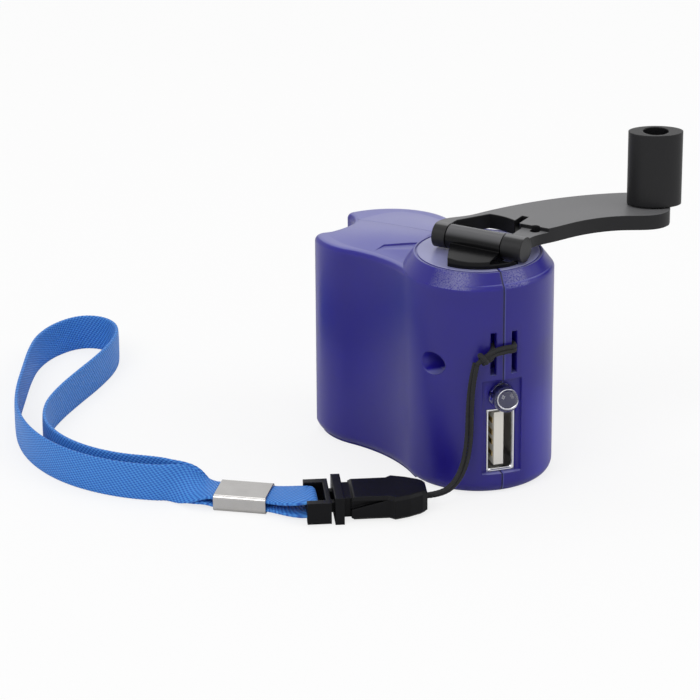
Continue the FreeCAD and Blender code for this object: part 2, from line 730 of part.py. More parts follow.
def ring(outer, inner, low, high, span=360):
    solid = Part.makeCylinder(outer, high - low, Vector(0, 0, low), Vector(0, 0, 1), span)
    return solid.cut(Part.makeCylinder(inner, high - low, Vector(0, 0, low)))


magnet = ring(v.can_radius - v.can_wall, v.can_radius - 2.2, magnet_low, magnet_low + magnet_tall, 130)
other = magnet.copy()
other.rotate(Vector(0, 0, 0), Vector(0, 0, 1), 180)
feature("magnets", Part.makeCompound([magnet, other]), Placement(gen, UPRIGHT))

core_radius = v.can_radius - 2.6
core_low = magnet_low + 1
core_high = magnet_low + magnet_tall - 1
core = drum(core_radius, core_low, core_high)
pole_gap = 120
for index in range(3):
    slot = ring(core_radius - 1, 2.0, core_low, core_high, 76)
    slot = slot.fuse(ring(core_radius + 1, 2.0, core_low, core_high, 14).rotated(
        Vector(0, 0, 0), Vector(0, 0, 1), 31))
    slot.rotate(Vector(0, 0, 0), Vector(0, 0, 1), pole_gap * index)
    core = core.cut(slot)
core_turn = Placement(gen, Rotation(Vector(0, 0, 1), rotor_turn))
feature("rotor_core", core.cut(drum(v.shaft_radius, 0, 30)), core_turn)

coils = ring(core_radius - 1.1, 2.1, core_low - 0.8, core_high + 0.8)
for index in range(3):
    gap = ring(core_radius + 1, 2.0, core_low - 1, core_high + 1, 16).rotated(
        Vector(0, 0, 0), Vector(0, 0, 1), pole_gap * index + 30)
    coils = coils.cut(gap)
feature("rotor_windings", coils.cut(core), core_turn)

commutator_high = core_low - 0.9
node(at_generator(turned("commutator_ring", [
    (s.shaft_radius, s.can_low + 1.5), (1.9, s.can_low + 1.5), (1.9, commutator_high),
    (s.shaft_radius, commutator_high)])), "commutator")
pinion_low = v.two_wheel_low - 0.4
pinion_high = v.two_wheel_low + v.gear_width + 0.4
node(cylinder("rotor_axle", s.shaft_radius, pinion_high - cap_low - 0.4,
              (gen.x, gen.y, cap_low + 0.4)), "rotor_shaft")
feature("rotor_pinion", toothed(v.rotor_teeth, pinion_low, pinion_high).cut(drum(v.shaft_radius, 0, v.case_height)),
        core_turn)
brush_long = v.can_radius - v.can_wall - 2.2
brush_pair = []
for side in (-1, 1):
    start = 2.0 if side > 0 else -2.0 - brush_long
    brush = box(f"brush_{side + 2}", (gen.x + start, gen.y - 0.7, s.can_low + 1.4),
                (gen.x + start + brush_long, gen.y + 0.7, magnet_low - 0.2))
    brush_pair.append(brush)
node(grouped("brush_pair", *brush_pair), "brushes")

# ------------------------------------------------------------------ circuit board and what it carries
board_front = -PAD_BACK + 0.4
node(box("board", (BOARD_LEFT, board_front, s.floor_wall + 0.02), (BOARD_RIGHT, BOARD_BACK, s.board_high)),
     "circuit_board")

port_half = s.port_width / 2
port_front = -(s.front_radius - s.flat_depth) + 0.2
port_back = port_front + s.port_depth
port_high = s.port_low + s.port_tall
hollow = [box("port_hollow", (-port_half + s.port_sheet, port_front - 1, s.port_low + s.port_sheet),
              (port_half - s.port_sheet, port_back - s.port_sheet, port_high - s.port_sheet))]
board_feet = []
for number, height in enumerate((s.port_low + 3.0, port_high - 3.0), start=1):
    board_feet.append(box(f"port_foot_{number}", (BOARD_RIGHT, port_back - 4, height - 0.6),
                          (-port_half, port_back - 2, height + 0.6)))
port_block = box("port_block", (-port_half, port_front, s.port_low), (port_half, port_back, port_high))
port_shell = cut("port_shell", port_block, *hollow)
node(fused("port_shell_feet", port_shell, *board_feet), "usb_shell")

tongue_mid = s.tongue_offset
tongue_low = s.port_low + (s.port_tall - s.tongue_tall) / 2
block_front = port_back - 4
tongue = box("tongue_blade", (tongue_mid - s.tongue_thick / 2, port_front + 0.6, tongue_low),
             (tongue_mid + s.tongue_thick / 2, block_front + 1, tongue_low + s.tongue_tall))
tongue_root = box("tongue_root", (-port_half + s.port_sheet, block_front, s.port_low + s.port_sheet),
                  (port_half - s.port_sheet, port_back - s.port_sheet, port_high - s.port_sheet))
node(fused("tongue_solid", tongue, tongue_root), "usb_tongue")

contact_face = tongue_mid - s.tongue_thick / 2
contact_strips = []
for number, offset in enumerate((-3.5, -1.0, 1.0, 3.5), start=1):
    height = s.port_low + s.port_tall / 2 + offset
    contact_strips.append(box(f"contact_{number}", (contact_face - 0.15, port_front + 1.4, height - 0.5),
                              (contact_face, block_front, height + 0.5)))
node(grouped("contact_strips", *contact_strips), "usb_contacts")

dome_middle = Vector(0, -FLAT_FACE - v.lamp_reach + v.lamp_radius, 0)
lens_foot = Vector(0, -PAD_BACK + 0.05, 0)
lens = Part.makeCylinder(v.lamp_radius, lens_foot.y - dome_middle.y + 0.1, dome_middle, Vector(0, 1, 0))
lens = lens.fuse([Part.makeSphere(v.lamp_radius, dome_middle),
                  Part.makeCylinder(v.lamp_radius + 0.4, 0.8, lens_foot, Vector(0, 1, 0))])
feature("led_lens", lens, Placement(Vector(0, 0, v.lamp_height), UPRIGHT))

lamp_back = -PAD_BACK + 0.85
led_leads = []
for number, (side, bend) in enumerate(((-1.27, lamp_back + 0.9), (1.27, lamp_back + 1.9)), start=1):
    out = box(f"lead_out_{number}", (side - 0.25, lamp_back, s.lamp_height - 0.25),
              (side + 0.25, bend + 0.5, s.lamp_height + 0.25))
    over = box(f"lead_over_{number}", (BOARD_RIGHT, bend, s.lamp_height - 0.25),
               (side + 0.25, bend + 0.5, s.lamp_height + 0.25))
    led_leads.append(fused(f"lead_{number}", out, over))
node(grouped("lead_pair", *led_leads), "led_leads")

node(cylinder("capacitor_can", 2.5, 6.0, (BOARD_LEFT - 6.0, -3.0, 9.0), TO_X), "capacitor")
node(box("chip", (BOARD_LEFT - 1.5, -9.5, 12.5), (BOARD_LEFT, -5.5, 17.0)), "regulator")
diode_set = []
for number in range(4):
    diode_set.append(cylinder(f"diode_{number + 1}", 0.9, 4.0,
                              (BOARD_LEFT - 0.9, -2.5, 13.6 + 2.1 * number), TO_Y))
node(grouped("diode_row", *diode_set), "diodes")
wire_pair = []
for number, sideways in enumerate((0.35, 1.15), start=1):
    wire_x = BOARD_LEFT + sideways
    reach = math.sqrt(v.can_radius ** 2 - (wire_x - gen.x) ** 2)
    wire_pair.append(cylinder(f"wire_{number}", 0.32, gen.y - reach - BOARD_BACK + 0.01,
                              (wire_x, BOARD_BACK, cap_low + 0.6), TO_Y))
node(grouped("wire_pair", *wire_pair), "generator_wires")

# ------------------------------------------------------------------ crank: hub, arm and knob
# The crank has its own plan directions: "side" runs along the hinge pin, "out" runs to the knob.
TO_CRANK = Rotation(Vector(0, 0, 1), v.crank_turn)
HUB_LOW = v.case_height + v.hub_lift
HINGE = Vector(0, v.hinge_back, v.hinge_height)
ARM_TOP = v.arm_low + v.arm_thick


def side_bar(radius, start, end):
    """A round bar along the hinge axis."""
    return Part.makeCylinder(radius, end - start, Vector(start, v.hinge_back, v.hinge_height),
                             Vector(1, 0, 0))


def prism(edges, low, high):
    face = Part.Face(Part.Wire(edges))
    face.translate(Vector(0, 0, low))
    return face.extrude(Vector(0, 0, high - low))


def flat_edges(points):
    points = [Vector(x, y, 0) for x, y in points]
    return [Part.LineSegment(start, end).toShape() for start, end in zip(points, points[1:])]


def hub_arc(start, end, radius, centre=0.0, sign=-1):
    """Part of a circle about the spindle, between two places along the hinge."""
    points = []
    for side in (start, (start + end) / 2, end):
        points.append(Vector(side, centre + sign * math.sqrt(radius ** 2 - side ** 2), 0))
    return points


NOSE = -1.0
nose_arc = hub_arc(NOSE, v.hub_right, v.hub_radius)
hub_back = v.hinge_back + v.barrel_radius
block_edges = flat_edges([(v.hub_left, hub_back), (v.hub_left, v.hinge_back),
                          (nose_arc[0].x, nose_arc[0].y)])
block_edges.append(Part.Arc(*nose_arc).toShape())
block_edges += flat_edges([(nose_arc[2].x, nose_arc[2].y), (v.hub_right, hub_back),
                          (v.hub_left, hub_back)])
hub = prism(block_edges, HUB_LOW, v.hinge_height - 0.5)
facet = Part.makeLoft([
    Part.makePolygon([Vector(side, -4.2, high), Vector(side, -12, low), Vector(side, -12, high + 10),
                      Vector(side, -4.2, high + 10), Vector(side, -4.2, high)])
    for side, high, low in ((-6, v.hinge_height - 0.45, v.hinge_height - 0.6),
                            (8, v.hinge_height - 0.6, v.hinge_height - 1.9))], True, True)
hub = hub.cut(facet)
shelf_arc = hub_arc(v.hub_right - 0.5, 10.4, v.hub_radius)
shelf_edges = [Part.Arc(*shelf_arc).toShape()]
shelf_edges += flat_edges([(shelf_arc[2].x, shelf_arc[2].y), (9.6, -5.0), (v.hub_right - 0.5, -5.0),
                           (shelf_arc[0].x, shelf_arc[0].y)])
hub = hub.fuse([side_bar(v.barrel_radius, v.hub_left, v.hub_right), drum(v.hub_drum, HUB_LOW, v.arm_low - 0.3),
                prism(shelf_edges, HUB_LOW, HUB_LOW + 0.8)])
half_drive = v.drive_square / 2
socket_cut = block((-half_drive, -half_drive, HUB_LOW - 1), (half_drive, half_drive, v.case_height + 1.75))
socket_cut.rotate(Vector(0, 0, 0), Vector(0, 0, 1), -v.crank_turn)
hub = hub.cut([socket_cut, side_bar(v.pin_radius + v.run_gap, -20, 20)])
feature("crank_hub", hub, Placement(Vector(0, 0, 0), TO_CRANK))

far_edge = [(v.left_ear_end, v.hinge_back), (-7.6, 0.2), (-4.7, 3.8), (-2.9, 7.2), (-0.25, 12.3),
            (3.7, 18.4), (8.1, 23.8), (15.5, 30.5)]
tip = [(15.5, 30.5), (24.7, 31.3), (28.9, 25.6)]
near_edge = [(28.9, 25.6), (27.8, 22.3), (22.7, 18.7), (18.5, 14.9), (15.7, 10.7), (13.3, 5.7),
             (v.right_ear_end + 0.3, 2.6), (v.right_ear_end, v.hinge_back)]


def smooth(points):
    curve = Part.BSplineCurve()
    curve.interpolate([Vector(x, y, 0) for x, y in points])
    return curve.toShape()


outline = [smooth(far_edge), Part.Arc(*[Vector(x, y, 0) for x, y in tip]).toShape(), smooth(near_edge)]
outline += flat_edges([near_edge[-1], far_edge[0]])
arm = prism(outline, v.arm_low, ARM_TOP)
neck = block((v.hub_right, v.hinge_back - 1, v.hinge_height + 1.65), (14, 4.9, ARM_TOP + 1))
left_side_gap = v.hub_left - v.ear_gap
right_side_gap = v.hub_right + v.ear_gap
arm = arm.cut(neck)
mirror_arc = hub_arc(NOSE - 0.2, right_side_gap, v.hub_radius + 0.35, 2 * v.hinge_back, 1)
window_edges = flat_edges([(right_side_gap, v.hinge_back - 9), (left_side_gap, v.hinge_back - 9),
                           (left_side_gap, hub_back + 0.3), (mirror_arc[0].x, mirror_arc[0].y)])
window_edges.append(Part.Arc(*mirror_arc).toShape())
window_edges += flat_edges([(mirror_arc[2].x, mirror_arc[2].y), (right_side_gap, v.hinge_back - 9)])
ears = [side_bar(v.ear_radius, v.left_ear_end, left_side_gap),
        side_bar(v.ear_radius, right_side_gap, v.right_ear_end)]
arm = arm.fuse(ears).cut([prism(window_edges, v.case_height, ARM_TOP + 1),
                          block((4.9, 2, v.case_height), (6.4, 9.05, ARM_TOP + 1))])
stud = Vector(v.knob_along, v.knob_out, ARM_TOP - 0.5)
arm = arm.fuse(Part.makeCylinder(v.stud_radius, v.stud_tall + 0.5, stud))
arm = arm.cut([side_bar(v.pin_radius, v.left_ear_end + 0.3, v.right_ear_end - 0.3),
               Part.makeCylinder(0.9, 20, stud + Vector(0, 0, 0.6)),
               Part.makeCylinder(1.0, 10, Vector(10.07, 4.47, v.arm_low - 1))])
feature("crank_arm", arm, Placement(Vector(0, 0, 0), TO_CRANK))

hinge = Placement(Vector(0, 0, 0), TO_CRANK)
feature("hinge_pin", side_bar(v.pin_radius, v.left_ear_end + 0.3, v.right_ear_end - 0.3), hinge)

knob_place = hinge.multVec(Vector(v.knob_along, v.knob_out, 0))
stud_top = v.arm_low + v.arm_thick + v.stud_tall
KNOB_TURN = -17.5
knob_blank = doc.addObject("Part::Ellipse", "knob_plan")
bind(knob_blank, "MajorRadius", s.knob_length / 2)
bind(knob_blank, "MinorRadius", s.knob_width / 2)
knob_column = doc.addObject("Part::Extrusion", "knob_column")
knob_column.Base = knob_blank
knob_column.DirMode = "Custom"
knob_column.Dir = Vector(0, 0, 1)
knob_column.Solid = True
bind(knob_column, "LengthFwd", s.knob_tall)
stud_reach = s.arm_low + s.arm_thick + s.stud_tall - s.knob_low
knob_bore = cylinder("knob_bore", s.stud_radius + s.run_gap, s.knob_tall, (0, 0, -1))
knob_well = cylinder("knob_well", s.knob_hole, s.knob_tall, (0, 0, stud_reach - 0.3))
knob_body = cut("knob_body", knob_column, knob_bore, knob_well)
node(place(knob_body, (knob_place.x, knob_place.y, s.knob_low), Rotation(Vector(0, 0, 1), KNOB_TURN)),
     "knob")

knob_screw = turned("knob_screw_body", [
    (0, stud_top - 5), (0.9, stud_top - 5), (0.9, stud_top), (2.3, stud_top), (2.1, stud_top + 1.1),
    (0, stud_top + 1.1)])
node(place(knob_screw, (knob_place.x, knob_place.y, 0)), "knob_screw")

# ------------------------------------------------------------------ lanyard
CORD_ROUTE = ((-5.9, -15.6, 28.4), (-6.6, -15.2, 24.5), (-6.9, -15.0, 18.5), (-7.0, -15.1, 12.5),
              (-8.2, -15.9, 7.4), (-10.6, -17.0, 4.3), (-13.6, -17.4, 2.9), (-16.42, -16.84, 2.75))


def rounded_route(points):
    """A path of straight runs joined by tangent arcs, with its radii."""
    points = [Vector(*point) for point in points]
    edges = []
    radii = []
    start = points[0]
    for before, corner, after in zip(points, points[1:], points[2:]):
        toward = (corner - before).normalize()
        away = (after - corner).normalize()
        turn = toward.getAngle(away)
        run = min((corner - before).Length, (after - corner).Length)
        trim = 0.45 * run
        radii.append(trim / math.tan(turn / 2))
        entry = corner - toward * trim
        leave = corner + away * trim
        inward = (away - toward).normalize()
        reach = radii[-1] * (1 / math.cos(turn / 2) - 1)
        middle = corner + inward * reach
        edges.append(Part.LineSegment(start, entry).toShape())
        edges.append(Part.Arc(entry, middle, leave).toShape())
        start = leave
    edges.append(Part.LineSegment(start, points[-1]).toShape())
    return Part.Wire(edges), radii


path, radii = rounded_route(CORD_ROUTE)
direction = Vector(*CORD_ROUTE[1]) - Vector(*CORD_ROUTE[0])
section = Part.Wire(Part.makeCircle(v.cord_diameter / 2, Vector(*CORD_ROUTE[0]), direction))
cord = path.makePipeShell([section], True, False)
print("cord radii", [round(radius, 1) for radius in radii], "length", round(path.Length, 1),
      "volume", round(cord.Volume, 2), "expected",
      round(path.Length * math.pi * v.cord_diameter ** 2 / 4, 2))
feature("lanyard_cord", cord)

# The hitch: two turns of the cord round the bar, and the eye that the doubled cord leaves by.
hitch_low = 29.6
hitch_high = 31.5
slack = 0.1
turns = block((v.bar_left - 1.05, -v.front_radius - 1.05, hitch_low),
              (v.bar_right + 1.05, -v.front_radius + v.bar_thick + 1.05, hitch_high))
turns = turns.makeFillet(0.6, turns.Edges)
turns = turns.cut(block((v.bar_left - slack, -v.front_radius - slack, hitch_low - 1),
                        (v.bar_right + slack, -v.front_radius + v.bar_thick + slack, hitch_high + 1)))
eye_start = Vector(-2.0, -15.6, 30.5)
eye_end = Vector(*CORD_ROUTE[0]) - direction * (1.6 / direction.Length)
link = Part.makeCylinder(0.75, (eye_end - eye_start).Length, eye_start, eye_end - eye_start)
eye = Part.makeCylinder(1.15, 1.6, eye_end, direction)
feature("cord_hitch", turns.fuse([link, Part.makeSphere(1.0, eye_end), eye]))

# The buckle lies flat; "q" runs from the cord's end towards the strap, "w" across it.
BUCKLE = Vector(-16.42, -16.84, 0)
BUCKLE_TURN = 167.5
to_buckle = Placement(BUCKLE, Rotation(Vector(0, 0, 1), BUCKLE_TURN))
half_flange = v.buckle_width / 2
body_high = v.buckle_tall - 0.5
one_side = [(0, 2.5), (1.0, 3.5), (3.5, 4.9), (6.6, half_flange), (7.8, 5.0), (v.socket_length, 5.0)]
socket_plan = [(along, -across) for along, across in one_side] + one_side[::-1] + [(0, -2.5)]
socket = prism(flat_edges(socket_plan), 0.3, body_high)
socket = socket.makeChamfer(0.6, [edge for edge in socket.Edges if edge.BoundBox.ZLength < 0.01])
neck_end = v.socket_length + 1.4
flange_end = neck_end + 1.8
socket = socket.fuse([block((v.socket_length - 0.1, -3.9, 0.7), (neck_end + 0.1, 3.9, body_high - 0.4)),
                      block((neck_end, -half_flange, 0), (flange_end, half_flange, v.buckle_tall))])
prong_low = 1.6
prong_high = 3.6
prong_start = 7.5
prong_slots = [block((prong_start - 0.3, side * 2.7 - 1.0, prong_low - 0.15),
                     (flange_end + 1, side * 2.7 + 1.0, prong_high + 0.15)) for side in (-1, 1)]
# A narrowing gap in each side, between the top plate and the arm that is squeezed.
squeeze_gaps = []
for side in (-1, 1):
    corners = [Vector(along, side * 4.1, high) for along, high in
               ((7.8, 4.3), (v.socket_length, 4.3), (v.socket_length, 2.5), (7.8, 4.3))]
    squeeze_gaps.append(Part.Face(Part.makePolygon(corners)).extrude(Vector(0, side * 3.0, 0)))
socket = socket.cut(prong_slots + squeeze_gaps)
feature("buckle_socket", socket, to_buckle)

frame_start = flange_end + 0.7
frame_end = frame_start + 4.7
bar_start = frame_end - 1.4
plug = block((frame_start, -half_flange, 0.3), (frame_end, half_flange, 4.6))
plug = plug.cut([block((frame_start + 1.0, -4.3, 0), (bar_start, 4.3, 5)),
                 block((bar_start - 0.1, -4.3, 3.3), (frame_end + 1, 4.3, 5)),
                 block((bar_start - 0.1, -4.3, 0), (frame_end + 1, 4.3, 1.6))])
plug = plug.fuse([block((prong_start, side * 2.7 - 0.8, prong_low),
                        (frame_start + 0.5, side * 2.7 + 0.8, prong_high)) for side in (-1, 1)])
feature("buckle_plug", plug, to_buckle)

# The ferrule: a flattened sleeve crimped over the two layers of webbing.
FERRULE = Vector(-49.05, -4.25, 0)
FERRULE_TURN = -29.0
to_ferrule = Placement(FERRULE, Rotation(Vector(0, 0, 1), FERRULE_TURN))
half_length = v.ferrule_length / 2
half_sleeve = v.web_width / 2 + 0.05 + v.ferrule_sheet
sleeve = block((-half_length, -half_sleeve, 0.02), (half_length, half_sleeve, v.ferrule_tall))
sleeve = sleeve.makeFillet(0.7, [edge for edge in sleeve.Edges if edge.BoundBox.XLength > half_length])
tunnel_low = 0.02 + v.ferrule_sheet
tunnel_high = v.ferrule_tall - v.ferrule_sheet
half_tunnel = half_sleeve - v.ferrule_sheet
sleeve = sleeve.cut(block((-half_length - 1, -half_tunnel, tunnel_low),
                          (half_length + 1, half_tunnel, tunnel_high)))
feature("crimp_ferrule", sleeve, to_ferrule)

half_web = v.web_width / 2
layer_low = tunnel_low + 0.05
layer_high = tunnel_high - 0.05 - v.web_thick


def ribbon_face(start, start_turn, end, end_turn, low, thick):
    """A flat layer of webbing whose two ends point two ways."""
    corners = []
    for centre, turn, sides in ((start, start_turn, (-1, 1)), (end, end_turn, (1, -1))):
        out = Vector(-math.sin(math.radians(turn)), math.cos(math.radians(turn)), 0)
        corners += [centre + out * (side * half_web) for side in sides]
    points = [Vector(corner.x, corner.y, low) for corner in corners]
    return Part.Face(Part.makePolygon(points + points[:1])).extrude(Vector(0, 0, thick))


# Strap end: it comes out of the ferrule, turns round the plug's bar and goes back in.
start = to_ferrule.multVec(Vector(0.4, 0, 0))
ferrule_mouth = to_ferrule.multVec(Vector(half_length, 0, 0))
bar_mid = (bar_start + frame_end) / 2
bar_turn = BUCKLE_TURN - 180
wrap_out = frame_end - bar_mid + 0.2 + v.web_thick
wrap_end = to_buckle.multVec(Vector(bar_mid + wrap_out - 0.4, 0, 0))
layers = []
for low, bar_high in ((layer_low, 0.55), (layer_high, 3.45)):
    layers.append(ribbon_face(start, FERRULE_TURN, ferrule_mouth, FERRULE_TURN, low, v.web_thick))
    wires = []
    for centre, turn, bottom in ((ferrule_mouth, FERRULE_TURN, low), (wrap_end, bar_turn, bar_high)):
        out = Vector(-math.sin(math.radians(turn)), math.cos(math.radians(turn)), 0) * half_web
        lift = Vector(0, 0, bottom)
        rise = Vector(0, 0, v.web_thick)
        corners = [centre - out + lift, centre + out + lift, centre + out + lift + rise,
                   centre - out + lift + rise]
        wires.append(Part.makePolygon(corners + corners[:1]))
    layers.append(Part.makeLoft(wires, True, True))
wrap = block((bar_start - 0.2 - v.web_thick, -half_web, 0.55),
             (bar_mid + wrap_out, half_web, 3.45 + v.web_thick))
wrap = wrap.cut(block((bar_start - 0.15, -half_web - 1, 0.55 + v.web_thick),
                      (frame_end + 0.15, half_web + 1, 3.45)))
wrap.Placement = to_buckle
strap_end = layers[0].fuse(layers[1:] + [wrap])
feature("strap_end", strap_end)

# Wrist loop: webbing on edge on the resting plane, twisting flat where it enters the ferrule.
WEB_ROUTE = ((-65.5, 3.2), (-71.0, 6.4), (-76.0, 11.0), (-80.3, 16.8), (-83.4, 24.0), (-85.0, 32.5),
             (-84.6, 42.0), (-82.0, 52.0), (-78.6, 61.5), (-75.4, 70.5), (-71.9, 78.2), (-66.8, 84.0),
             (-60.5, 87.0), (-55.6, 84.6), (-53.9, 78.6), (-56.6, 71.2), (-62.0, 63.4), (-68.0, 56.2),
             (-73.8, 48.9), (-78.6, 41.2), (-80.9, 32.8), (-79.9, 24.4), (-76.3, 17.0), (-71.0, 11.2),
             (-64.6, 7.4))
web_path, web_radii = rounded_route([(x, y, 0) for x, y in WEB_ROUTE])
print("strap radii", [round(radius, 1) for radius in web_radii], "length", round(web_path.Length, 1))
STAND_LOW = 0.1


def standing_web(route):
    """A band of webbing on edge: its plan is the route with half a thickness on each side."""
    band = []
    for side in (-1, 1):
        edges = []
        for edge in route.Edges:
            points = []
            for share in (0, 0.5, 1):
                place_on = edge.FirstParameter + share * (edge.LastParameter - edge.FirstParameter)
                tangent = edge.tangentAt(place_on)
                across = Vector(-tangent.y, tangent.x, 0)
                points.append(edge.valueAt(place_on) + across * (side * v.web_thick / 2))
            if isinstance(edge.Curve, Part.Line):
                edges.append(Part.LineSegment(points[0], points[2]).toShape())
            else:
                edges.append(Part.Arc(*points).toShape())
        band.append(edges)
    first = Part.Wire(band[0])
    second = Part.Wire(band[1])
    ends = []
    for index in (0, -1):
        ends.append(Part.LineSegment(band[0][index].Vertexes[index].Point,
                                     band[1][index].Vertexes[index].Point).toShape())
    face = Part.Face(Part.Wire(Part.__sortEdges__(first.Edges + second.Edges + ends)))
    face.translate(Vector(0, 0, STAND_LOW))
    return face.extrude(Vector(0, 0, v.web_width))


def twist(stations):
    """Webbing that turns from flat to on edge through a few cross-sections."""
    pieces = []
    wires = []
    for centre, heading, lean in stations:
        along = Vector(math.cos(math.radians(heading)), math.sin(math.radians(heading)), 0)
        left = Vector(-along.y, along.x, 0)
        lean = math.radians(lean)
        width = left * math.cos(lean) + Vector(0, 0, 1) * math.sin(lean)
        thick = Vector(0, 0, 1) * math.cos(lean) - left * math.sin(lean)
        centre = Vector(*centre)
        corners = [centre + width * (one * half_web) + thick * (two * v.web_thick / 2)
                   for one, two in ((-1, -1), (1, -1), (1, 1), (-1, 1))]
        wires.append(Part.makePolygon(corners + corners[:1]))
    for first, second in zip(wires, wires[1:]):
        pieces.append(Part.makeLoft([first, second], True, True))
    return pieces[0].fuse(pieces[1:]) if len(pieces) > 1 else pieces[0]


stand_mid = STAND_LOW + half_web
inner_end = to_ferrule.multVec(Vector(-0.4, 0, 0))
mouth = to_ferrule.multVec(Vector(-half_length, 0, 0))
back_heading = FERRULE_TURN + 180


def heading_of(first, second):
    return math.degrees(math.atan2(second[1] - first[1], second[0] - first[0]))


upper = layer_high + v.web_thick / 2
lower = layer_low + v.web_thick / 2
out_heading = heading_of(WEB_ROUTE[0], WEB_ROUTE[1])
in_heading = heading_of(WEB_ROUTE[-1], WEB_ROUTE[-2])
outer_twist = twist([
    ((inner_end.x, inner_end.y, upper), back_heading, 0), ((mouth.x, mouth.y, upper), back_heading, 0),
    ((-57.6, 0.2, upper + 0.35), 150.5, -22), ((-60.6, 1.6, 3.25), 151, -48),
    ((-63.2, 2.5, 3.85), 152, -74), ((WEB_ROUTE[0][0], WEB_ROUTE[0][1], stand_mid), out_heading, -90)])
inner_twist = twist([
    ((inner_end.x, inner_end.y, lower), back_heading, 0), ((mouth.x, mouth.y, lower), back_heading, 0),
    ((-57.4, 0.95, 1.8), 150, -20), ((-59.7, 2.9, 3.1), 149, -46),
    ((-62.1, 5.2, 3.8), 148.5, -72), ((WEB_ROUTE[-1][0], WEB_ROUTE[-1][1], stand_mid), in_heading, -90)])
feature("strap_loop", standing_web(web_path).fuse([outer_twist, inner_twist]))

# ------------------------------------------------------------------ checks and files
doc.recompute()
faults = [item.Name for item in doc.Objects if {"Invalid", "Error"} & set(item.State)]
for item in nodes:
    if item.Shape.isNull() or not item.Shape.isValid():
        faults.append(item.Label)
if faults:
    raise RuntimeError("failed: " + ", ".join(faults))
for item in nodes:
    item.Shape.exportStep(f"parts/{item.Label}.step")
    solids = len(item.Shape.Solids)
    print(f"{item.Label}: {solids} solid(s), {item.Shape.Volume:.1f} mm3")
print(len(nodes), "sub-parts")
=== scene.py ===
# %% [markdown]
# # A hand crank phone charger, dressed around its imported frame
#
# The frame is the engineer's model: every gear, screw and shell at its real size.
# Blender adds the looks on top of it: the tinted plastic, the woven strap, the braided
# cord and the folded metal. A sensible first step is to load the frame.

# %% Load the frame
import json
import math

import bpy
import numpy as np
from mathutils import Matrix, Vector


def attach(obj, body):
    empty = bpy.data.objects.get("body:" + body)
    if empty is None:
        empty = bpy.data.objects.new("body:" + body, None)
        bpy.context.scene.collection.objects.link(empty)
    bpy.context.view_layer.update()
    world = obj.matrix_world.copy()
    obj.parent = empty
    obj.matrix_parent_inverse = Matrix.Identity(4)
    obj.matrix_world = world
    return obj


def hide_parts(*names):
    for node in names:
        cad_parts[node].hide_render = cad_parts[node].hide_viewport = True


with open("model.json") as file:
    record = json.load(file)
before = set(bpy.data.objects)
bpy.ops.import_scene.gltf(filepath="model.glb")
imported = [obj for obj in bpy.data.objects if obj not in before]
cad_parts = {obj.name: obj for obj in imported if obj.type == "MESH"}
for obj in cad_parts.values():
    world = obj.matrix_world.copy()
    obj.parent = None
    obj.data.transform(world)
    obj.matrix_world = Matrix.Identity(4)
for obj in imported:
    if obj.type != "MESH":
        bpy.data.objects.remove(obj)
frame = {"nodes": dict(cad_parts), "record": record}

MM = 0.001
scene = bpy.context.scene
nodes = frame["nodes"]
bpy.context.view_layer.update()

# %% [markdown]
# ## The camera
#
# A camera can be aimed with a Track To constraint or by hand. Here its three axes are
# written out, because a matrix says exactly where it stands and how it leans: its
# columns are the camera's right, its up, and the way back from the object.

# %% Camera
CAMERA_PLACE = Vector((-216.77, -603.68, 280.15)) * MM
CAMERA_FORWARD = Vector((0.27937, 0.88604, -0.36997)).normalized()
CAMERA_LEAN = math.radians(-0.383)
FOCAL_MM = 179.53
SENSOR_MM = 36.0
NEAREST_SEEN = 0.05

level_right = CAMERA_FORWARD.cross(Vector((0, 0, 1))).normalized()
level_up = level_right.cross(CAMERA_FORWARD)
camera_right = level_right * math.cos(CAMERA_LEAN) + level_up * math.sin(CAMERA_LEAN)
camera_up = level_up * math.cos(CAMERA_LEAN) - level_right * math.sin(CAMERA_LEAN)
lens = bpy.data.cameras.new("camera")
lens.sensor_width = SENSOR_MM
lens.lens = FOCAL_MM
lens.clip_start = NEAREST_SEEN
camera = bpy.data.objects.new("camera", lens)
scene.collection.objects.link(camera)
camera.matrix_world = Matrix.Translation(CAMERA_PLACE) @ Matrix(
    (camera_right, camera_up, -CAMERA_FORWARD)).transposed().to_4x4()
scene.camera = camera
print("camera", round(CAMERA_PLACE.length / MM), "mm from the foot of the spindle")

# %% [markdown]
# ## Grids of points
#
# Nearly every new piece here is a surface on a grid: rows of points, one row for each
# step along the piece. Blender takes such a mesh fastest as whole arrays. The texture
# coordinates are kept in millimetres, so that a weave has its real pitch.

# %% Helpers: from a grid to a piece


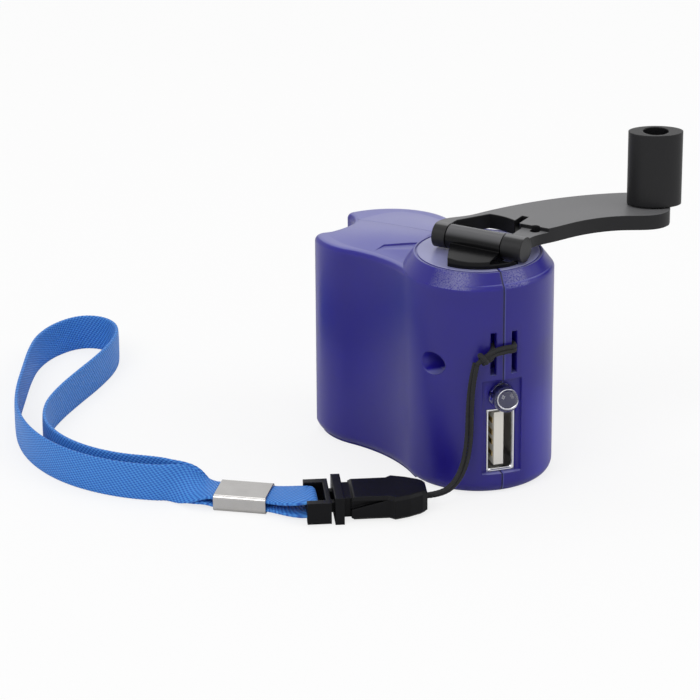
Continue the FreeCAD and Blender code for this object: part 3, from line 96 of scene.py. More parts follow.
def grid_mesh(name, points, around=False, closed=False, uv=None, caps=False):
    """Join a grid of points into quads.

    A quad joins point (i, j) to (i, j+1), (i+1, j+1) and (i+1, j). around joins the last
    column to the first, closed joins the last row to the first, and caps fills the two
    ends. uv holds one number for each row and one for each column.
    """
    rows, columns = points.shape[:2]
    row, column = np.meshgrid(np.arange(rows if closed else rows - 1),
                              np.arange(columns if around else columns - 1), indexing="ij")
    row, column = row.ravel(), column.ravel()
    corner_rows = np.stack([row, row, row + 1, row + 1], 1)
    corner_columns = np.stack([column, column + 1, column + 1, column], 1)
    quads = (corner_rows % rows) * columns + corner_columns % columns
    faces = quads.tolist()
    if caps:
        faces.append(list(range(columns))[::-1])
        faces.append(list(range((rows - 1) * columns, rows * columns)))
    mesh = bpy.data.meshes.new(name)
    mesh.from_pydata(points.reshape(-1, 3), [], faces)
    if uv is not None:
        along, across = uv
        flat = np.stack([along[corner_rows.ravel()], across[corner_columns.ravel()]], 1)
        cap_loops = 2 * columns if caps else 0
        flat = np.concatenate([flat, np.zeros((cap_loops, 2))])
        layer = mesh.uv_layers.new(name="weave")
        layer.data.foreach_set("uv", flat.ravel())
    mesh.polygons.foreach_set("use_smooth", np.ones(len(mesh.polygons), bool))
    mesh.update()
    return mesh


def join_meshes(name, meshes):
    """One mesh from several, with their texture coordinates kept."""
    pieces = []
    for part in meshes:
        holder = bpy.data.objects.new(name, part)
        scene.collection.objects.link(holder)
        pieces.append(holder)
    with bpy.context.temp_override(active_object=pieces[0], selected_objects=pieces,
                                   selected_editable_objects=pieces):
        bpy.ops.object.join()
    joined = pieces[0].data
    bpy.data.objects.remove(pieces[0])
    joined.name = name
    return joined


def add_piece(name, mesh, body, material, replaced=()):
    """Put a mesh into the scene as a piece that rides on a body."""
    piece = bpy.data.objects.new(name, mesh)
    scene.collection.objects.link(piece)
    mesh.materials.append(material)
    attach(piece, body)
    if replaced:
        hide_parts(*replaced)
    print(name, len(mesh.vertices), "points")
    return piece


# %% [markdown]
# ## Smooth routes
#
# A cord or a strap follows one smooth line. A NURBS spline of order three passes close to
# its control points and never has a corner. The spline is read back as plain points, and
# the strands, the webbing and the knot are all swept along those.

# %% Helpers: smooth lines and what is swept along them
FULL_TURN = 2 * math.pi
SPLINE_STEPS = 16
SAME_POINT = 1e-7
FEWEST_POINTS = 4
BRAID_PITCH = 1.5 * MM
BRAID_RIDGE = 0.07
BRAID_STARTS = 3
TUBE_COLUMNS = 20


def smooth_line(control):
    """Points on a NURBS spline that has these control points, in metres."""
    curve = bpy.data.curves.new("route", "CURVE")
    curve.dimensions = "3D"
    curve.resolution_u = SPLINE_STEPS
    spline = curve.splines.new("NURBS")
    spline.points.add(len(control) - 1)
    weighted = np.ones((len(control), 4))
    weighted[:, :3] = control
    spline.points.foreach_set("co", weighted.ravel())
    spline.order_u = 3
    spline.use_endpoint_u = True
    holder = bpy.data.objects.new("route", curve)
    scene.collection.objects.link(holder)
    bpy.context.view_layer.update()
    mesh = bpy.data.meshes.new_from_object(holder)
    line = np.zeros(len(mesh.vertices) * 3)
    mesh.vertices.foreach_get("co", line)
    bpy.data.objects.remove(holder)
    bpy.data.curves.remove(curve)
    bpy.data.meshes.remove(mesh)
    line = line.reshape(-1, 3)
    moved = np.linalg.norm(np.diff(line, axis=0), axis=1) > SAME_POINT
    return line[np.append(True, moved)]


def unit(vectors):
    """Vectors at length one."""
    return vectors / np.linalg.norm(vectors, axis=-1, keepdims=True)


def heading(line):
    """The direction in which a line runs at each of its points."""
    return unit(np.gradient(line, axis=0))


def upright(side, forward):
    """The part of a side direction that is square to forward, at length one."""
    return unit(side - forward * np.sum(side * forward, 1, keepdims=True))


def distance_along(line):
    """How far along a line each of its points is: the sum of the steps before it."""
    steps = np.linalg.norm(np.diff(line, axis=0), axis=1)
    return np.append(0, np.cumsum(steps))


def evenly(line, gap):
    """The same line with its points an even gap apart."""
    run = distance_along(line)
    places = np.linspace(0, run[-1], max(FEWEST_POINTS, int(round(run[-1] / gap)) + 1))
    return np.stack([np.interp(places, run, line[:, axis]) for axis in range(3)], 1)


def circle(columns):
    """The angles of so many even steps round a circle."""
    return np.linspace(0, FULL_TURN, columns, endpoint=False)


def squared(wave, power):
    """A cosine or sine pushed towards a square: its sign times its size to a power."""
    return np.sign(wave) * np.abs(wave) ** power


def braided(name, line, radius, side):
    """A braided strand: a circle carried along a line, closed at both ends.

    A point is the line's point plus the radius times (cos angle * side + sin angle * up).
    The radius swells by a ridge times the product of two opposite screws of one pitch.
    """
    forward = heading(line)
    first = upright(side, forward)
    second = np.cross(forward, first)
    angle = circle(TUBE_COLUMNS)
    screw = FULL_TURN * distance_along(line)[:, None] / BRAID_PITCH
    swell = radius * (1 + BRAID_RIDGE * np.sin(BRAID_STARTS * angle + screw)
                      * np.sin(BRAID_STARTS * angle - screw))
    points = line[:, None] + swell[..., None] * (
        np.cos(angle)[None, :, None] * first[:, None]
        + np.sin(angle)[None, :, None] * second[:, None])
    return grid_mesh(name, points, around=True, caps=True)


# %% [markdown]
# ## Finishes
#
# Moulded plastic is never one flat colour. A finish here starts from the Principled
# shader. Soft noise shifts its colour and its roughness a little, and fine noise gives
# the grain that the mould leaves. The noise reads object coordinates, which are metres,
# so a scale of 3000 is a grain of a third of a millimetre.

# %% Helpers: nodes and finishes
SECOND_SHADE = 0.8
DRIFT_DETAIL, GRAIN_DETAIL = 3.0, 4.0
CELLS_PER_GRAIN = 0.7
BEVEL_SAMPLES = 6


def link(material, output, socket):
    """Join two sockets of a material, or of the world."""
    material.node_tree.links.new(output, socket)


def add_node(material, kind, **values):
    """A shader node, with its properties and its inputs set. An input's name is written
    with underscores in the place of its spaces."""
    made = material.node_tree.nodes.new(kind)
    for name, value in values.items():
        if hasattr(made, name):
            setattr(made, name, value)
        else:
            made.inputs[name.replace("_", " ")].default_value = value
    return made


def principled(material):
    """The shader that every finish starts from."""
    return material.node_tree.nodes["Principled BSDF"]


def new_material(name, **sockets):
    """An empty material whose shader has these values on its own sockets."""
    material = bpy.data.materials.new(name)
    material.use_nodes = True
    for key, value in sockets.items():
        principled(material).inputs[key.replace("_", " ")].default_value = value
    return material


def calc(material, operation, *values):
    """One arithmetic step on sockets and plain numbers."""
    made = add_node(material, "ShaderNodeMath", operation=operation)
    for socket, value in zip(made.inputs, values):
        if isinstance(value, (int, float)):
            socket.default_value = value
        else:
            link(material, value, socket)
    return made.outputs["Value"]


def product(material, value, *factors):
    """Sockets and plain numbers multiplied together."""
    for factor in factors:
        value = calc(material, "MULTIPLY", value, factor)
    return value


def map_range(material, value, **values):
    """A range of numbers moved onto another range."""
    made = add_node(material, "ShaderNodeMapRange", **values)
    link(material, value, made.inputs["Value"])
    return made.outputs["Result"]


def ramp(material, value, start, full):
    """A smooth step: 0 at start and 1 at full, whichever of the two is the larger."""
    return map_range(material, value, interpolation_type="SMOOTHSTEP", From_Min=start,
                     From_Max=full)


def noise(material, place, scale, detail):
    """Soft noise at a place, as a number from 0 to 1."""
    made = add_node(material, "ShaderNodeTexNoise", Scale=scale, Detail=detail)
    link(material, place, made.inputs["Vector"])
    return made.outputs["Fac"]


def blend(material, share, low, high):
    """A colour between two: low * (1 - share) + high * share. low may be a socket."""
    made = add_node(material, "ShaderNodeMix", data_type="RGBA", B=(*high, 1))
    link(material, share, made.inputs["Factor"])
    if isinstance(low, tuple):
        made.inputs["A"].default_value = (*low, 1)
    else:
        link(material, low, made.inputs["A"])
    return made.outputs["Result"]


def repaint(material, share, colour):
    """Lay another colour over the base colour, by a share."""
    base = principled(material).inputs["Base Color"]
    link(material, blend(material, share, base.links[0].from_socket, colour), base)


def axes(material, place):
    """The x, y and z of a vector socket."""
    split = add_node(material, "ShaderNodeSeparateXYZ")
    link(material, place, split.inputs["Vector"])
    return [split.outputs[axis] for axis in "XYZ"]


def object_place(material):
    """Where a point lies on its object, in metres."""
    return add_node(material, "ShaderNodeTexCoord").outputs["Object"]


def facing_up(material):
    """The upward part of the surface's direction: 1 on a level top, 0 on a wall."""
    return axes(material, add_node(material, "ShaderNodeNewGeometry").outputs["Normal"])[2]


def raise_relief(material, height, **values):
    """Let a height shade the surface as if it stood out from it."""
    relief = add_node(material, "ShaderNodeBump", **values)
    link(material, height, relief.inputs["Height"])
    link(material, relief.outputs["Normal"], principled(material).inputs["Normal"])


def soften_edges(material, radius):
    """Shade every sharp edge as if it were rounded, so that it catches the light."""
    rounder = add_node(material, "ShaderNodeBevel", samples=BEVEL_SAMPLES, Radius=radius * MM)
    reliefs = [made for made in material.node_tree.nodes if made.bl_idname == "ShaderNodeBump"]
    target = reliefs[0] if reliefs else principled(material)
    link(material, rounder.outputs["Normal"], target.inputs["Normal"])


def finish(name, colour, roughness, second=None, patch=60.0, grain=0.0, grain_size=0.3,
           rough_spread=0.05, **sockets):
    """A Principled material with a slow drift of colour, uneven gloss and a fine grain."""
    material = new_material(name, **sockets)
    place = object_place(material)
    drift = noise(material, place, patch, DRIFT_DETAIL)
    other = second or tuple(c * SECOND_SHADE for c in colour)
    link(material, blend(material, drift, colour, other),
         principled(material).inputs["Base Color"])
    spots = noise(material, place, CELLS_PER_GRAIN / (grain_size * MM), GRAIN_DETAIL)
    gloss = map_range(material, spots, To_Min=max(0.0, roughness - rough_spread),
                      To_Max=min(1.0, roughness + rough_spread))
    link(material, gloss, principled(material).inputs["Roughness"])
    if grain:
        raise_relief(material, spots, Strength=1.0, Distance=grain * MM)
    return material


# %% [markdown]
# ## Tinted plastic
#
# The case is a blue polycarbonate that lets light through but blurs what is behind it.
# Pure glass would show every gear, and plain paint would show none. A share of
# transmission with a satin roughness gives the blurred shapes of the works inside.
#
# The finishes stand in one table: the name, the colour, the roughness, and whatever else
# differs from a plain finish. Each name is also the slot that the finish belongs to.

# %% Finishes of the moulded and metal pieces
CLEAR_SHARE, CLEAR_ON_TOP = 0.62, 0.28
CRANK_GRAIN = {"second": (0.004, 0.004, 0.005), "grain": 0.012, "grain_size": 0.18,
               "rough_spread": 0.08, "Specular_IOR_Level": 0.3}
METAL = {"Metallic": 1.0}
FINISHES = {
    "case_blue": ((0.034, 0.022, 0.46), 0.32, {
        "second": (0.027, 0.015, 0.38), "patch": 45.0, "grain": 0.006, "grain_size": 0.25,
        "Transmission_Weight": CLEAR_SHARE, "IOR": 1.5, "Specular_IOR_Level": 0.32}),
    "crank_black": ((0.007, 0.007, 0.008), 0.42, CRANK_GRAIN),
    "arm_black": ((0.007, 0.007, 0.008), 0.44, CRANK_GRAIN),
    "hub_black": ((0.004, 0.004, 0.005), 0.20, {
        "second": (0.003, 0.003, 0.003), "grain": 0.004, "grain_size": 0.3,
        "rough_spread": 0.05, "Specular_IOR_Level": 0.16}),
    "buckle_black": ((0.005, 0.005, 0.006), 0.36, {
        "second": (0.003, 0.003, 0.004), "grain": 0.008, "grain_size": 0.2,
        "rough_spread": 0.08, "Specular_IOR_Level": 0.12}),
    "gear_white": ((0.80, 0.80, 0.76), 0.42, {"grain": 0.004}),
    "plate_grey": ((0.05, 0.05, 0.06), 0.5, {"grain": 0.006}),
    "bush_white": ((0.84, 0.84, 0.82), 0.4, {"grain": 0.004}),
    "cap_white": ((0.72, 0.72, 0.72), 0.45, {"grain": 0.004}),
    "magnet_dark": ((0.06, 0.06, 0.065), 0.6, {"grain": 0.01}),
    "chip_black": ((0.02, 0.02, 0.02), 0.5, {"grain": 0.006}),
    "tongue_white": ((0.76, 0.74, 0.68), 0.38, {"second": (0.70, 0.67, 0.60), "grain": 0.004}),
    "wire_red": ((0.42, 0.02, 0.02), 0.35, {}),
    "steel": ((0.60, 0.60, 0.61), 0.22, {"second": (0.50, 0.50, 0.52), "patch": 400.0, **METAL}),
    "screw_steel": ((0.52, 0.52, 0.53), 0.3, {"patch": 300.0, **METAL}),
    "zinc": ((0.60, 0.61, 0.63), 0.34, {"patch": 200.0, "grain": 0.003, **METAL}),
    "brush_brass": ((0.78, 0.58, 0.26), 0.28, {"patch": 300.0, **METAL}),
    "copper_wire": ((0.66, 0.27, 0.12), 0.3, {"patch": 500.0, **METAL}),
    "socket_nickel": ((0.74, 0.74, 0.75), 0.17, {
        "second": (0.66, 0.66, 0.67), "patch": 350.0, "rough_spread": 0.06, **METAL}),
    "contact_gold": ((0.88, 0.66, 0.30), 0.2, {"patch": 400.0, **METAL}),
    "lead_tin": ((0.72, 0.72, 0.72), 0.22, {"patch": 400.0, **METAL}),
    "capacitor_can": ((0.16, 0.17, 0.22), 0.3, {"patch": 200.0, "Metallic": 0.6}),
    "board_green": ((0.02, 0.20, 0.06), 0.3, {"second": (0.015, 0.15, 0.05), "patch": 500.0}),
    "lamp_clear": ((0.93, 0.94, 1.0), 0.03, {
        "second": (0.90, 0.91, 1.0), "rough_spread": 0.01, "Transmission_Weight": 1.0,
        "IOR": 1.53}),
    "ferrule_nickel": ((0.50, 0.49, 0.48), 0.18, {
        "second": (0.40, 0.39, 0.38), "patch": 260.0, "rough_spread": 0.07, "grain": 0.002,
        **METAL}),
    "cord_black": ((0.012, 0.012, 0.013), 0.62, {
        "second": (0.022, 0.022, 0.024), "patch": 900.0, "grain": 0.03, "grain_size": 0.12,
        "Sheen_Weight": 0.06, "Sheen_Roughness": 0.4, "Specular_IOR_Level": 0.2}),
}
looks = {name: finish(name, colour, roughness, **rest)
         for name, (colour, roughness, rest) in FINISHES.items()}

# %% [markdown]
# ## Light on the black and the blue
#
# The arm's flat top is painted a paler grey, a painted reflection of the white above it that a
# satin black mirrors, and the hub's barrel gets a painted highlight. The slope of the surface
# says where.
#
# The blue plastic is painted pale on its tops, painted light for the light that wanders inside
# it and comes out there, and painted a deeper blue on the sloping shoulder as painted shade.
# The disc round the spindle is painted paler still, and a painted glow of light lies low on the
# right side. On the shoulder painted glints, for the light the mould's grain catches, sparkle in
# two patches that face the lamps, and a dark line with a painted highlight beside it marks
# where the two halves meet.

# %% Slopes, painted light and glints, and the seam
BLACK_EDGE, CASE_EDGE = 0.35, 0.45
# Painted light: a painted reflection on the arm's flat top and a painted highlight on the hub's
# barrel.
ARM_TOP_SLOPE, ARM_TOP_PAINTED_REFLECTION = (0.90, 0.99), (0.15, 0.15, 0.155)
BARREL_SLOPE, BARREL_PAINTED_HIGHLIGHT = (0.25, 0.8), (0.11, 0.11, 0.115)
BARREL_HEIGHT = (48.45 * MM, 49.45 * MM)

TOP_SLOPE, SHOULDER_SLOPE = (0.68, 0.93), (0.15, 0.45)
SHOULDER_HEIGHT = (42.4 * MM, 42.8 * MM)
# Painted light on the tops and the disc, painted shade on the slopes.
LIT_TOP_BLUE, LIT_TOP_SHARE = (0.235, 0.24, 0.56), 0.88
SHADED_SLOPE_BLUE, SHADED_SLOPE_SHARE = (0.016, 0.006, 0.42), 0.85
LIT_DISC_BLUE, LIT_DISC_SHARE = (0.40, 0.41, 0.66), 0.9
DISC_REACH = 12.2 * MM
DISC_EDGE = (DISC_REACH, 0.98 * DISC_REACH)
# Painted glints on the shoulder, in patches that face the lamps.
PAINTED_GLINT = (0.25, 0.25, 0.62)
PAINTED_GLINT_TOWARDS = ((-0.676, -0.737, 0.945), (0.191, -0.981, 0.972))
PAINTED_GLINT_FULL = 0.998
GLINT_SPECK_SCALE, GLINT_SPECK_DETAIL, GLINT_SPECK_STEP = 3600.0, 2.0, (0.30, 0.66)
# A painted glow of light, low on the right side.
LOW_PAINTED_GLOW, GLOW_SHARE = (0.075, 0.065, 0.66), 0.6
GLOW_HEIGHT, GLOW_SIDE = (24.0 * MM, 14.0 * MM), (3.0 * MM, 9.0 * MM)
SEAM_HALF = 0.11 * MM
SEAM_EDGE = (1.6 * SEAM_HALF, SEAM_HALF)
# Seam lines: a painted highlight beside the seam, then the dark joint itself.
SEAM_HIGHLIGHT_AND_JOINT = ((2.4 * SEAM_HALF, (0.10, 0.10, 0.55)), (0.0, (0.002, 0.001, 0.05)))
FRONT_DEPTH = (0.0, -0.5 * MM)


def dress_case(material):
    """Lay painted light on the tops and the disc, painted shade on the slopes, painted glints, a
    painted glow and the dark seam with its painted highlight over the blue.
    """
    place = object_place(material)
    x, y, z = axes(material, place)
    upward = facing_up(material)
    top = ramp(material, upward, *TOP_SLOPE)
    slope = product(material, ramp(material, upward, *SHOULDER_SLOPE),
                    calc(material, "SUBTRACT", 1.0, top))
    # Painted light on the tops, painted shade on the slopes.
    repaint(material, product(material, top, LIT_TOP_SHARE), LIT_TOP_BLUE)
    repaint(material, product(material, slope, SHADED_SLOPE_SHARE), SHADED_SLOPE_BLUE)
    clear = calc(material, "MULTIPLY_ADD", top, CLEAR_ON_TOP - CLEAR_SHARE, CLEAR_SHARE)
    link(material, clear, principled(material).inputs["Transmission Weight"])
    radius = calc(material, "SQRT", calc(material, "ADD", product(material, x, x),
                                         product(material, y, y)))
    # Painted light on the disc round the spindle.
    lit_disc = product(material, top, ramp(material, radius, *DISC_EDGE))
    repaint(material, product(material, lit_disc, LIT_DISC_SHARE), LIT_DISC_BLUE)
    shoulder = product(material, slope, ramp(material, z, *SHOULDER_HEIGHT))
    # Painted glints: specks on the shoulder in patches that face the lamps.
    glint_specks = ramp(material, noise(material, place, GLINT_SPECK_SCALE, GLINT_SPECK_DETAIL), *GLINT_SPECK_STEP)
    for east, north, near in PAINTED_GLINT_TOWARDS:
        reach = calc(material, "ADD", product(material, x, east), product(material, y, north))
        patch = ramp(material, calc(material, "DIVIDE", reach, radius), near, PAINTED_GLINT_FULL)
        repaint(material, product(material, patch, glint_specks, shoulder), PAINTED_GLINT)
    # Painted glow of light low on the right side.
    low_glow_mask = product(material, ramp(material, z, *GLOW_HEIGHT),
                        ramp(material, x, *GLOW_SIDE))
    repaint(material, product(material, low_glow_mask, GLOW_SHARE), LOW_PAINTED_GLOW)
    front = ramp(material, y, *FRONT_DEPTH)
    # The painted highlight beside the seam, then the dark joint.
    for middle, colour in SEAM_HIGHLIGHT_AND_JOINT:
        aside = calc(material, "ABSOLUTE", calc(material, "SUBTRACT", x, middle))
        repaint(material, product(material, ramp(material, aside, *SEAM_EDGE), front), colour)


arm_black, hub_black = looks["arm_black"], looks["hub_black"]
# A painted reflection on the arm's flat top and a painted highlight on the barrel.
repaint(arm_black, ramp(arm_black, facing_up(arm_black), *ARM_TOP_SLOPE), ARM_TOP_PAINTED_REFLECTION)
hub_height = axes(hub_black, object_place(hub_black))[2]
barrel_highlight_mask = product(hub_black, ramp(hub_black, hub_height, *BARREL_HEIGHT),
                    ramp(hub_black, facing_up(hub_black), *BARREL_SLOPE))
repaint(hub_black, barrel_highlight_mask, BARREL_PAINTED_HIGHLIGHT)
for black in ("crank_black", "arm_black", "hub_black", "buckle_black"):
    soften_edges(looks[black], BLACK_EDGE)
dress_case(looks["case_blue"])
soften_edges(looks["case_blue"], CASE_EDGE)

OWN_FINISH = {"crank_arm": "arm_black", "crank_hub": "hub_black"}
for part in frame["record"]["subparts"]:
    look = OWN_FINISH.get(part["node"], part["material_slot"])
    if look in looks:
        mesh = nodes[part["node"]].data
        mesh.materials.clear()
        mesh.materials.append(looks[look])

# %% [markdown]
# ## Webbing
#
# The strap is polyester webbing with a diagonal weave. The pattern follows the band, so it
# reads the band's own UV map, in millimetres. Two sets of stripes cross: the steep ones
# are the twill lines and the finer ones the single threads. Their sum is the relief, and
# it also picks the shade, because the valleys of a weave are dark.

# %% Webbing finish
TWILL_PITCH, TWILL_LEAN = 0.66, (0.8, 0.6)
THREAD_PITCH, THREAD_LEAN = 0.48, (0.35, -0.94)
THREAD_SHARE = 0.8
WEAVE_HEIGHT = 0.06


def webbing_finish(name, light, dark):
    """Woven polyester: twill stripes and threads from the UV map, as colour and as relief."""
    material = new_material(name, Roughness=0.55, Specular_IOR_Level=0.3, Sheen_Weight=0.08,
                            Sheen_Roughness=0.35)
    u, v, _ = axes(material, add_node(material, "ShaderNodeUVMap", uv_map="weave").outputs["UV"])

    def stripes(lean, pitch):
        """sin(2 pi (lean_u * u + lean_v * v) / pitch), moved to run from 0 to 1."""
        along, across = (FULL_TURN * part / pitch for part in lean)
        phase = calc(material, "MULTIPLY_ADD", v, across, product(material, u, along))
        return calc(material, "MULTIPLY_ADD", calc(material, "SINE", phase), 0.5, 0.5)

    twill = stripes(TWILL_LEAN, TWILL_PITCH)
    threads = stripes(THREAD_LEAN, THREAD_PITCH)
    weave = calc(material, "MULTIPLY_ADD", threads, THREAD_SHARE, twill)
    shade = map_range(material, weave, From_Max=1 + THREAD_SHARE)
    link(material, blend(material, shade, dark, light), principled(material).inputs["Base Color"])
    raise_relief(material, weave, Distance=WEAVE_HEIGHT * MM)
    return material


web_blue = webbing_finish("web_blue", (0.085, 0.33, 0.80), (0.010, 0.09, 0.44))

# %% [markdown]
# ## The lanyard's cord
#
# A thin braided cord hangs doubled from the bar down to the buckle. It could be one thick
# tube, but the two strands that lie beside each other are what the eye sees, so each is
# swept along its own side of the route, and the pair turns slowly on the way down.

# %% Cord
CORD_ROUTE = np.array([(-5.9, -15.6, 28.4), (-6.6, -15.2, 24.5), (-6.9, -15.0, 18.5),
                       (-7.0, -15.1, 12.5), (-8.2, -15.9, 7.4), (-10.6, -17.0, 4.3),
                       (-13.6, -17.4, 2.9), (-16.42, -16.84, 2.75)]) * MM
CORD_STEP = 0.12 * MM
STRAND_RADIUS = 0.42 * MM
PAIR_FACES = np.array([0.2, 1.0, 0.25])
PAIR_TURN = (math.radians(62), math.radians(-25))

cord_line = evenly(smooth_line(CORD_ROUTE), CORD_STEP)
cord_forward = heading(cord_line)
cord_side = unit(np.cross(cord_forward, PAIR_FACES))
cord_depth = np.cross(cord_forward, cord_side)
turning = np.linspace(*PAIR_TURN, len(cord_line))[:, None]
pair_side = cord_side * np.cos(turning) + cord_depth * np.sin(turning)
strands = [braided("strand", cord_line + pair_side * side * STRAND_RADIUS, STRAND_RADIUS,
                   pair_side) for side in (-1, 1)]
cord = add_piece("cord", join_meshes("cord", strands), "housing", looks["cord_black"],
                 ["lanyard_cord"])

# %% [markdown]
# ## The hitch on the bar
#
# The doubled cord is looped round the upright bar and drawn through itself. A plain block
# would do from far away. Here the knot is four strands: two turns round the bar, the
# small eye that they leave through, and the strand that comes back beside it.

# %% Hitch
BAR_LEFT, BAR_RIGHT = -1.4, 1.7
BAR_MIDDLE = (BAR_LEFT + BAR_RIGHT) / 2
BAR_FRONT, BAR_BACK = -14.9, -13.4
SLOT_MIDDLE = 0.62
OFF_BAR = 0.5
TURN_RADIUS = 0.47 * MM
TURN_HEIGHTS = (30.1, 30.95)
TURN_LIFT = 0.1
TURN_FACES = np.array([0.1, 0.15, 1.0])
RETURN_ROUTE = [(-4.5, -15.9, 28.9), (-3.4, -15.5, 28.6), (-2.4, -15.0, 28.9),
                (-2.02, -14.3, 29.3), (-2.02, -13.0, 29.6)]
EYE_MIDDLE = np.array([-4.6, -15.9, 29.4])
EYE_RADIUS, EYE_PITCH, EYE_POINTS = 0.95, 0.5, 49


def turn_route(height):
    """One turn round the bar: in from the left, behind it, right, across the front, out."""
    near, far = BAR_FRONT - OFF_BAR, BAR_BACK + OFF_BAR
    left, right = BAR_LEFT - SLOT_MIDDLE, BAR_RIGHT + SLOT_MIDDLE
    top = height + TURN_LIFT
    return [(-4.2, -15.7, 28.9 + 0.5 * TURN_LIFT), (-2.9, -15.3, height - 0.6),
            (left, -14.9, height - 0.25), (left, far, height - 0.05),
            (BAR_MIDDLE, far, height + 0.05), (right, far, height + 0.1),
            (right, -14.3, height + 0.15), (BAR_RIGHT + OFF_BAR, near, top),
            (BAR_MIDDLE, near - 0.1, top), (BAR_LEFT - OFF_BAR, near - 0.2, top - 0.25),
            (-3.3, near - 0.55, top - 0.7), (-4.6, -15.9, 29.4), (-5.9, -15.8, 28.3)]


def swept_turn(name, route):
    """One strand of the hitch, swept along the smooth line of its route."""
    line = evenly(smooth_line(np.array(route) * MM), CORD_STEP)
    return braided(name, line, TURN_RADIUS, np.cross(heading(line), TURN_FACES))


leaving = unit(np.array([-3.9, 0.0, -2.1]))
eye_side = unit(np.cross(leaving, np.array([0.0, 1.0, 0.0])))
eye_up = np.cross(leaving, eye_side)
eye_angle = np.linspace(0, FULL_TURN, EYE_POINTS)[:, None]
eye_rise = np.linspace(-EYE_PITCH / 2, EYE_PITCH / 2, EYE_POINTS)[:, None]
eye_line = (EYE_MIDDLE + EYE_RADIUS * (np.cos(eye_angle) * eye_side + np.sin(eye_angle) * eye_up)
            + leaving * eye_rise) * MM
hitch_meshes = [swept_turn("turn", turn_route(height)) for height in TURN_HEIGHTS]
hitch_meshes.append(braided("eye", eye_line, TURN_RADIUS, leaving))
hitch_meshes.append(swept_turn("return", RETURN_ROUTE))
add_piece("hitch", join_meshes("hitch", hitch_meshes), "housing", looks["cord_black"],
          ["cord_hitch"])

# %% [markdown]
# ## A band of webbing
#
# Webbing is a thin strip with a middle line and a direction across it. On a table a loose
# loop stands on its edge, and where it is crimped it lies flat, so that direction turns
# from level to upright along the way. The cross-section is a flattened oval, a little
# wavy at its two woven edges.

# %% Helper: a band
WEB_WIDE = 7.6 * MM
WEB_THICK = 0.9 * MM
WEB_COLUMNS = 28
EDGE_POWER, FACE_POWER = 0.75, 0.35
EDGE_WAVE, EDGE_WAVE_PITCH = 0.008, TWILL_PITCH * MM * 1.25


def band_mesh(name, line, across):
    """A strip swept along a line: its width times a squared-off cos(angle) across it, and
    its thickness times a squared-off sin(angle) through it. Its UV is millimetres along
    and across the strip."""
    forward = heading(line)
    across = upright(across, forward)
    through = np.cross(forward, across)
    angle = circle(WEB_COLUMNS)
    run = distance_along(line)
    sway = 1 + EDGE_WAVE * np.sin(FULL_TURN * run / EDGE_WAVE_PITCH)[:, None]
    wide_by = 0.5 * WEB_WIDE * squared(np.cos(angle), EDGE_POWER) * sway
    thick_by = 0.5 * WEB_THICK * squared(np.sin(angle), FACE_POWER)
    points = (line[:, None] + wide_by[..., None] * across[:, None]
              + thick_by[None, :, None] * through[:, None])
    over = wide_by.mean(0) / MM
    return grid_mesh(name, points, around=True, caps=True,
                     uv=(run / MM, np.append(over, over[0])))


# %% [markdown]
# ## The wrist loop
#
# The long loop leaves the crimp in the upper layer, stands up, swings out, comes back and
# enters the crimp again in the lower layer. Its second half leans the other way round, so
# that the band never flips at the far end of the loop.

# %% Wrist loop
UP = np.array([0, 0, 1.0])
OFF_TABLE = 0.1
STAND_MIDDLE = OFF_TABLE + WEB_WIDE / MM / 2
UPPER_LAYER, LOWER_LAYER = 2.57, 0.87
LOOP_STEP = 0.35 * MM
FLAT_RUN, TWIST_RUN = 6.0 * MM, 10.5 * MM
FERRULE_PLACE = np.array([-49.05, -4.25])
FERRULE_TURN = math.radians(-29.0)
FERRULE_LONG, FERRULE_TALL, FERRULE_SHEET = 11.7, 3.4, 0.35
HALF_LONG = FERRULE_LONG / 2
along_ferrule = np.array([math.cos(FERRULE_TURN), math.sin(FERRULE_TURN)])


def in_ferrule(along, height):
    """A point on the ferrule's middle line, so far along it and so high."""
    return (*(FERRULE_PLACE + along_ferrule * along), height)


LOOP_ROUTE = [(-65.5, 3.2), (-71.0, 6.4), (-76.0, 11.0), (-80.3, 16.8), (-83.4, 24.0),
              (-85.0, 32.5), (-84.6, 42.0), (-82.0, 52.0), (-78.6, 61.5), (-75.4, 70.5),
              (-71.9, 78.2), (-66.8, 84.0), (-60.5, 87.0), (-55.6, 84.6), (-53.9, 78.6),
              (-56.6, 71.2), (-62.0, 63.4), (-68.0, 56.2), (-73.8, 48.9), (-78.6, 41.2),
              (-80.9, 32.8), (-79.9, 24.4), (-76.3, 17.0), (-71.0, 11.2), (-64.6, 7.4)]
LEAVING_CRIMP = [(-57.6, 0.2, UPPER_LAYER + 0.35), (-60.6, 1.6, 3.65), (-63.2, 2.5, 3.95)]
BACK_TO_CRIMP = [(-62.1, 5.2, 3.95), (-59.7, 2.9, 3.55), (-57.4, 0.95, 2.05)]
IN_CRIMP = (-0.4, -3.0, -HALF_LONG)
loop_control = ([in_ferrule(along, UPPER_LAYER) for along in IN_CRIMP] + LEAVING_CRIMP
                + [(x, y, STAND_MIDDLE) for x, y in LOOP_ROUTE] + BACK_TO_CRIMP
                + [in_ferrule(along, LOWER_LAYER) for along in reversed(IN_CRIMP)])
loop_line = evenly(smooth_line(np.array(loop_control) * MM), LOOP_STEP)
loop_run = distance_along(loop_line)
loop_length = loop_run[-1]
from_end = np.minimum(loop_run, loop_length - loop_run)
stand = np.clip((from_end - FLAT_RUN) / TWIST_RUN, 0, 1)
stand = (stand * stand * (3 - 2 * stand))[:, None] * math.pi / 2
level = unit(np.cross(UP, heading(loop_line)))
second_half = (loop_run > loop_length / 2)[:, None]
lean = np.where(second_half, stand - math.pi, -stand)
loop_across = level * np.cos(lean) + UP * np.sin(lean)
strap_loop = add_piece("wrist_loop", band_mesh("wrist_loop", loop_line, loop_across), "strap",
                       web_blue, ["strap_loop"])

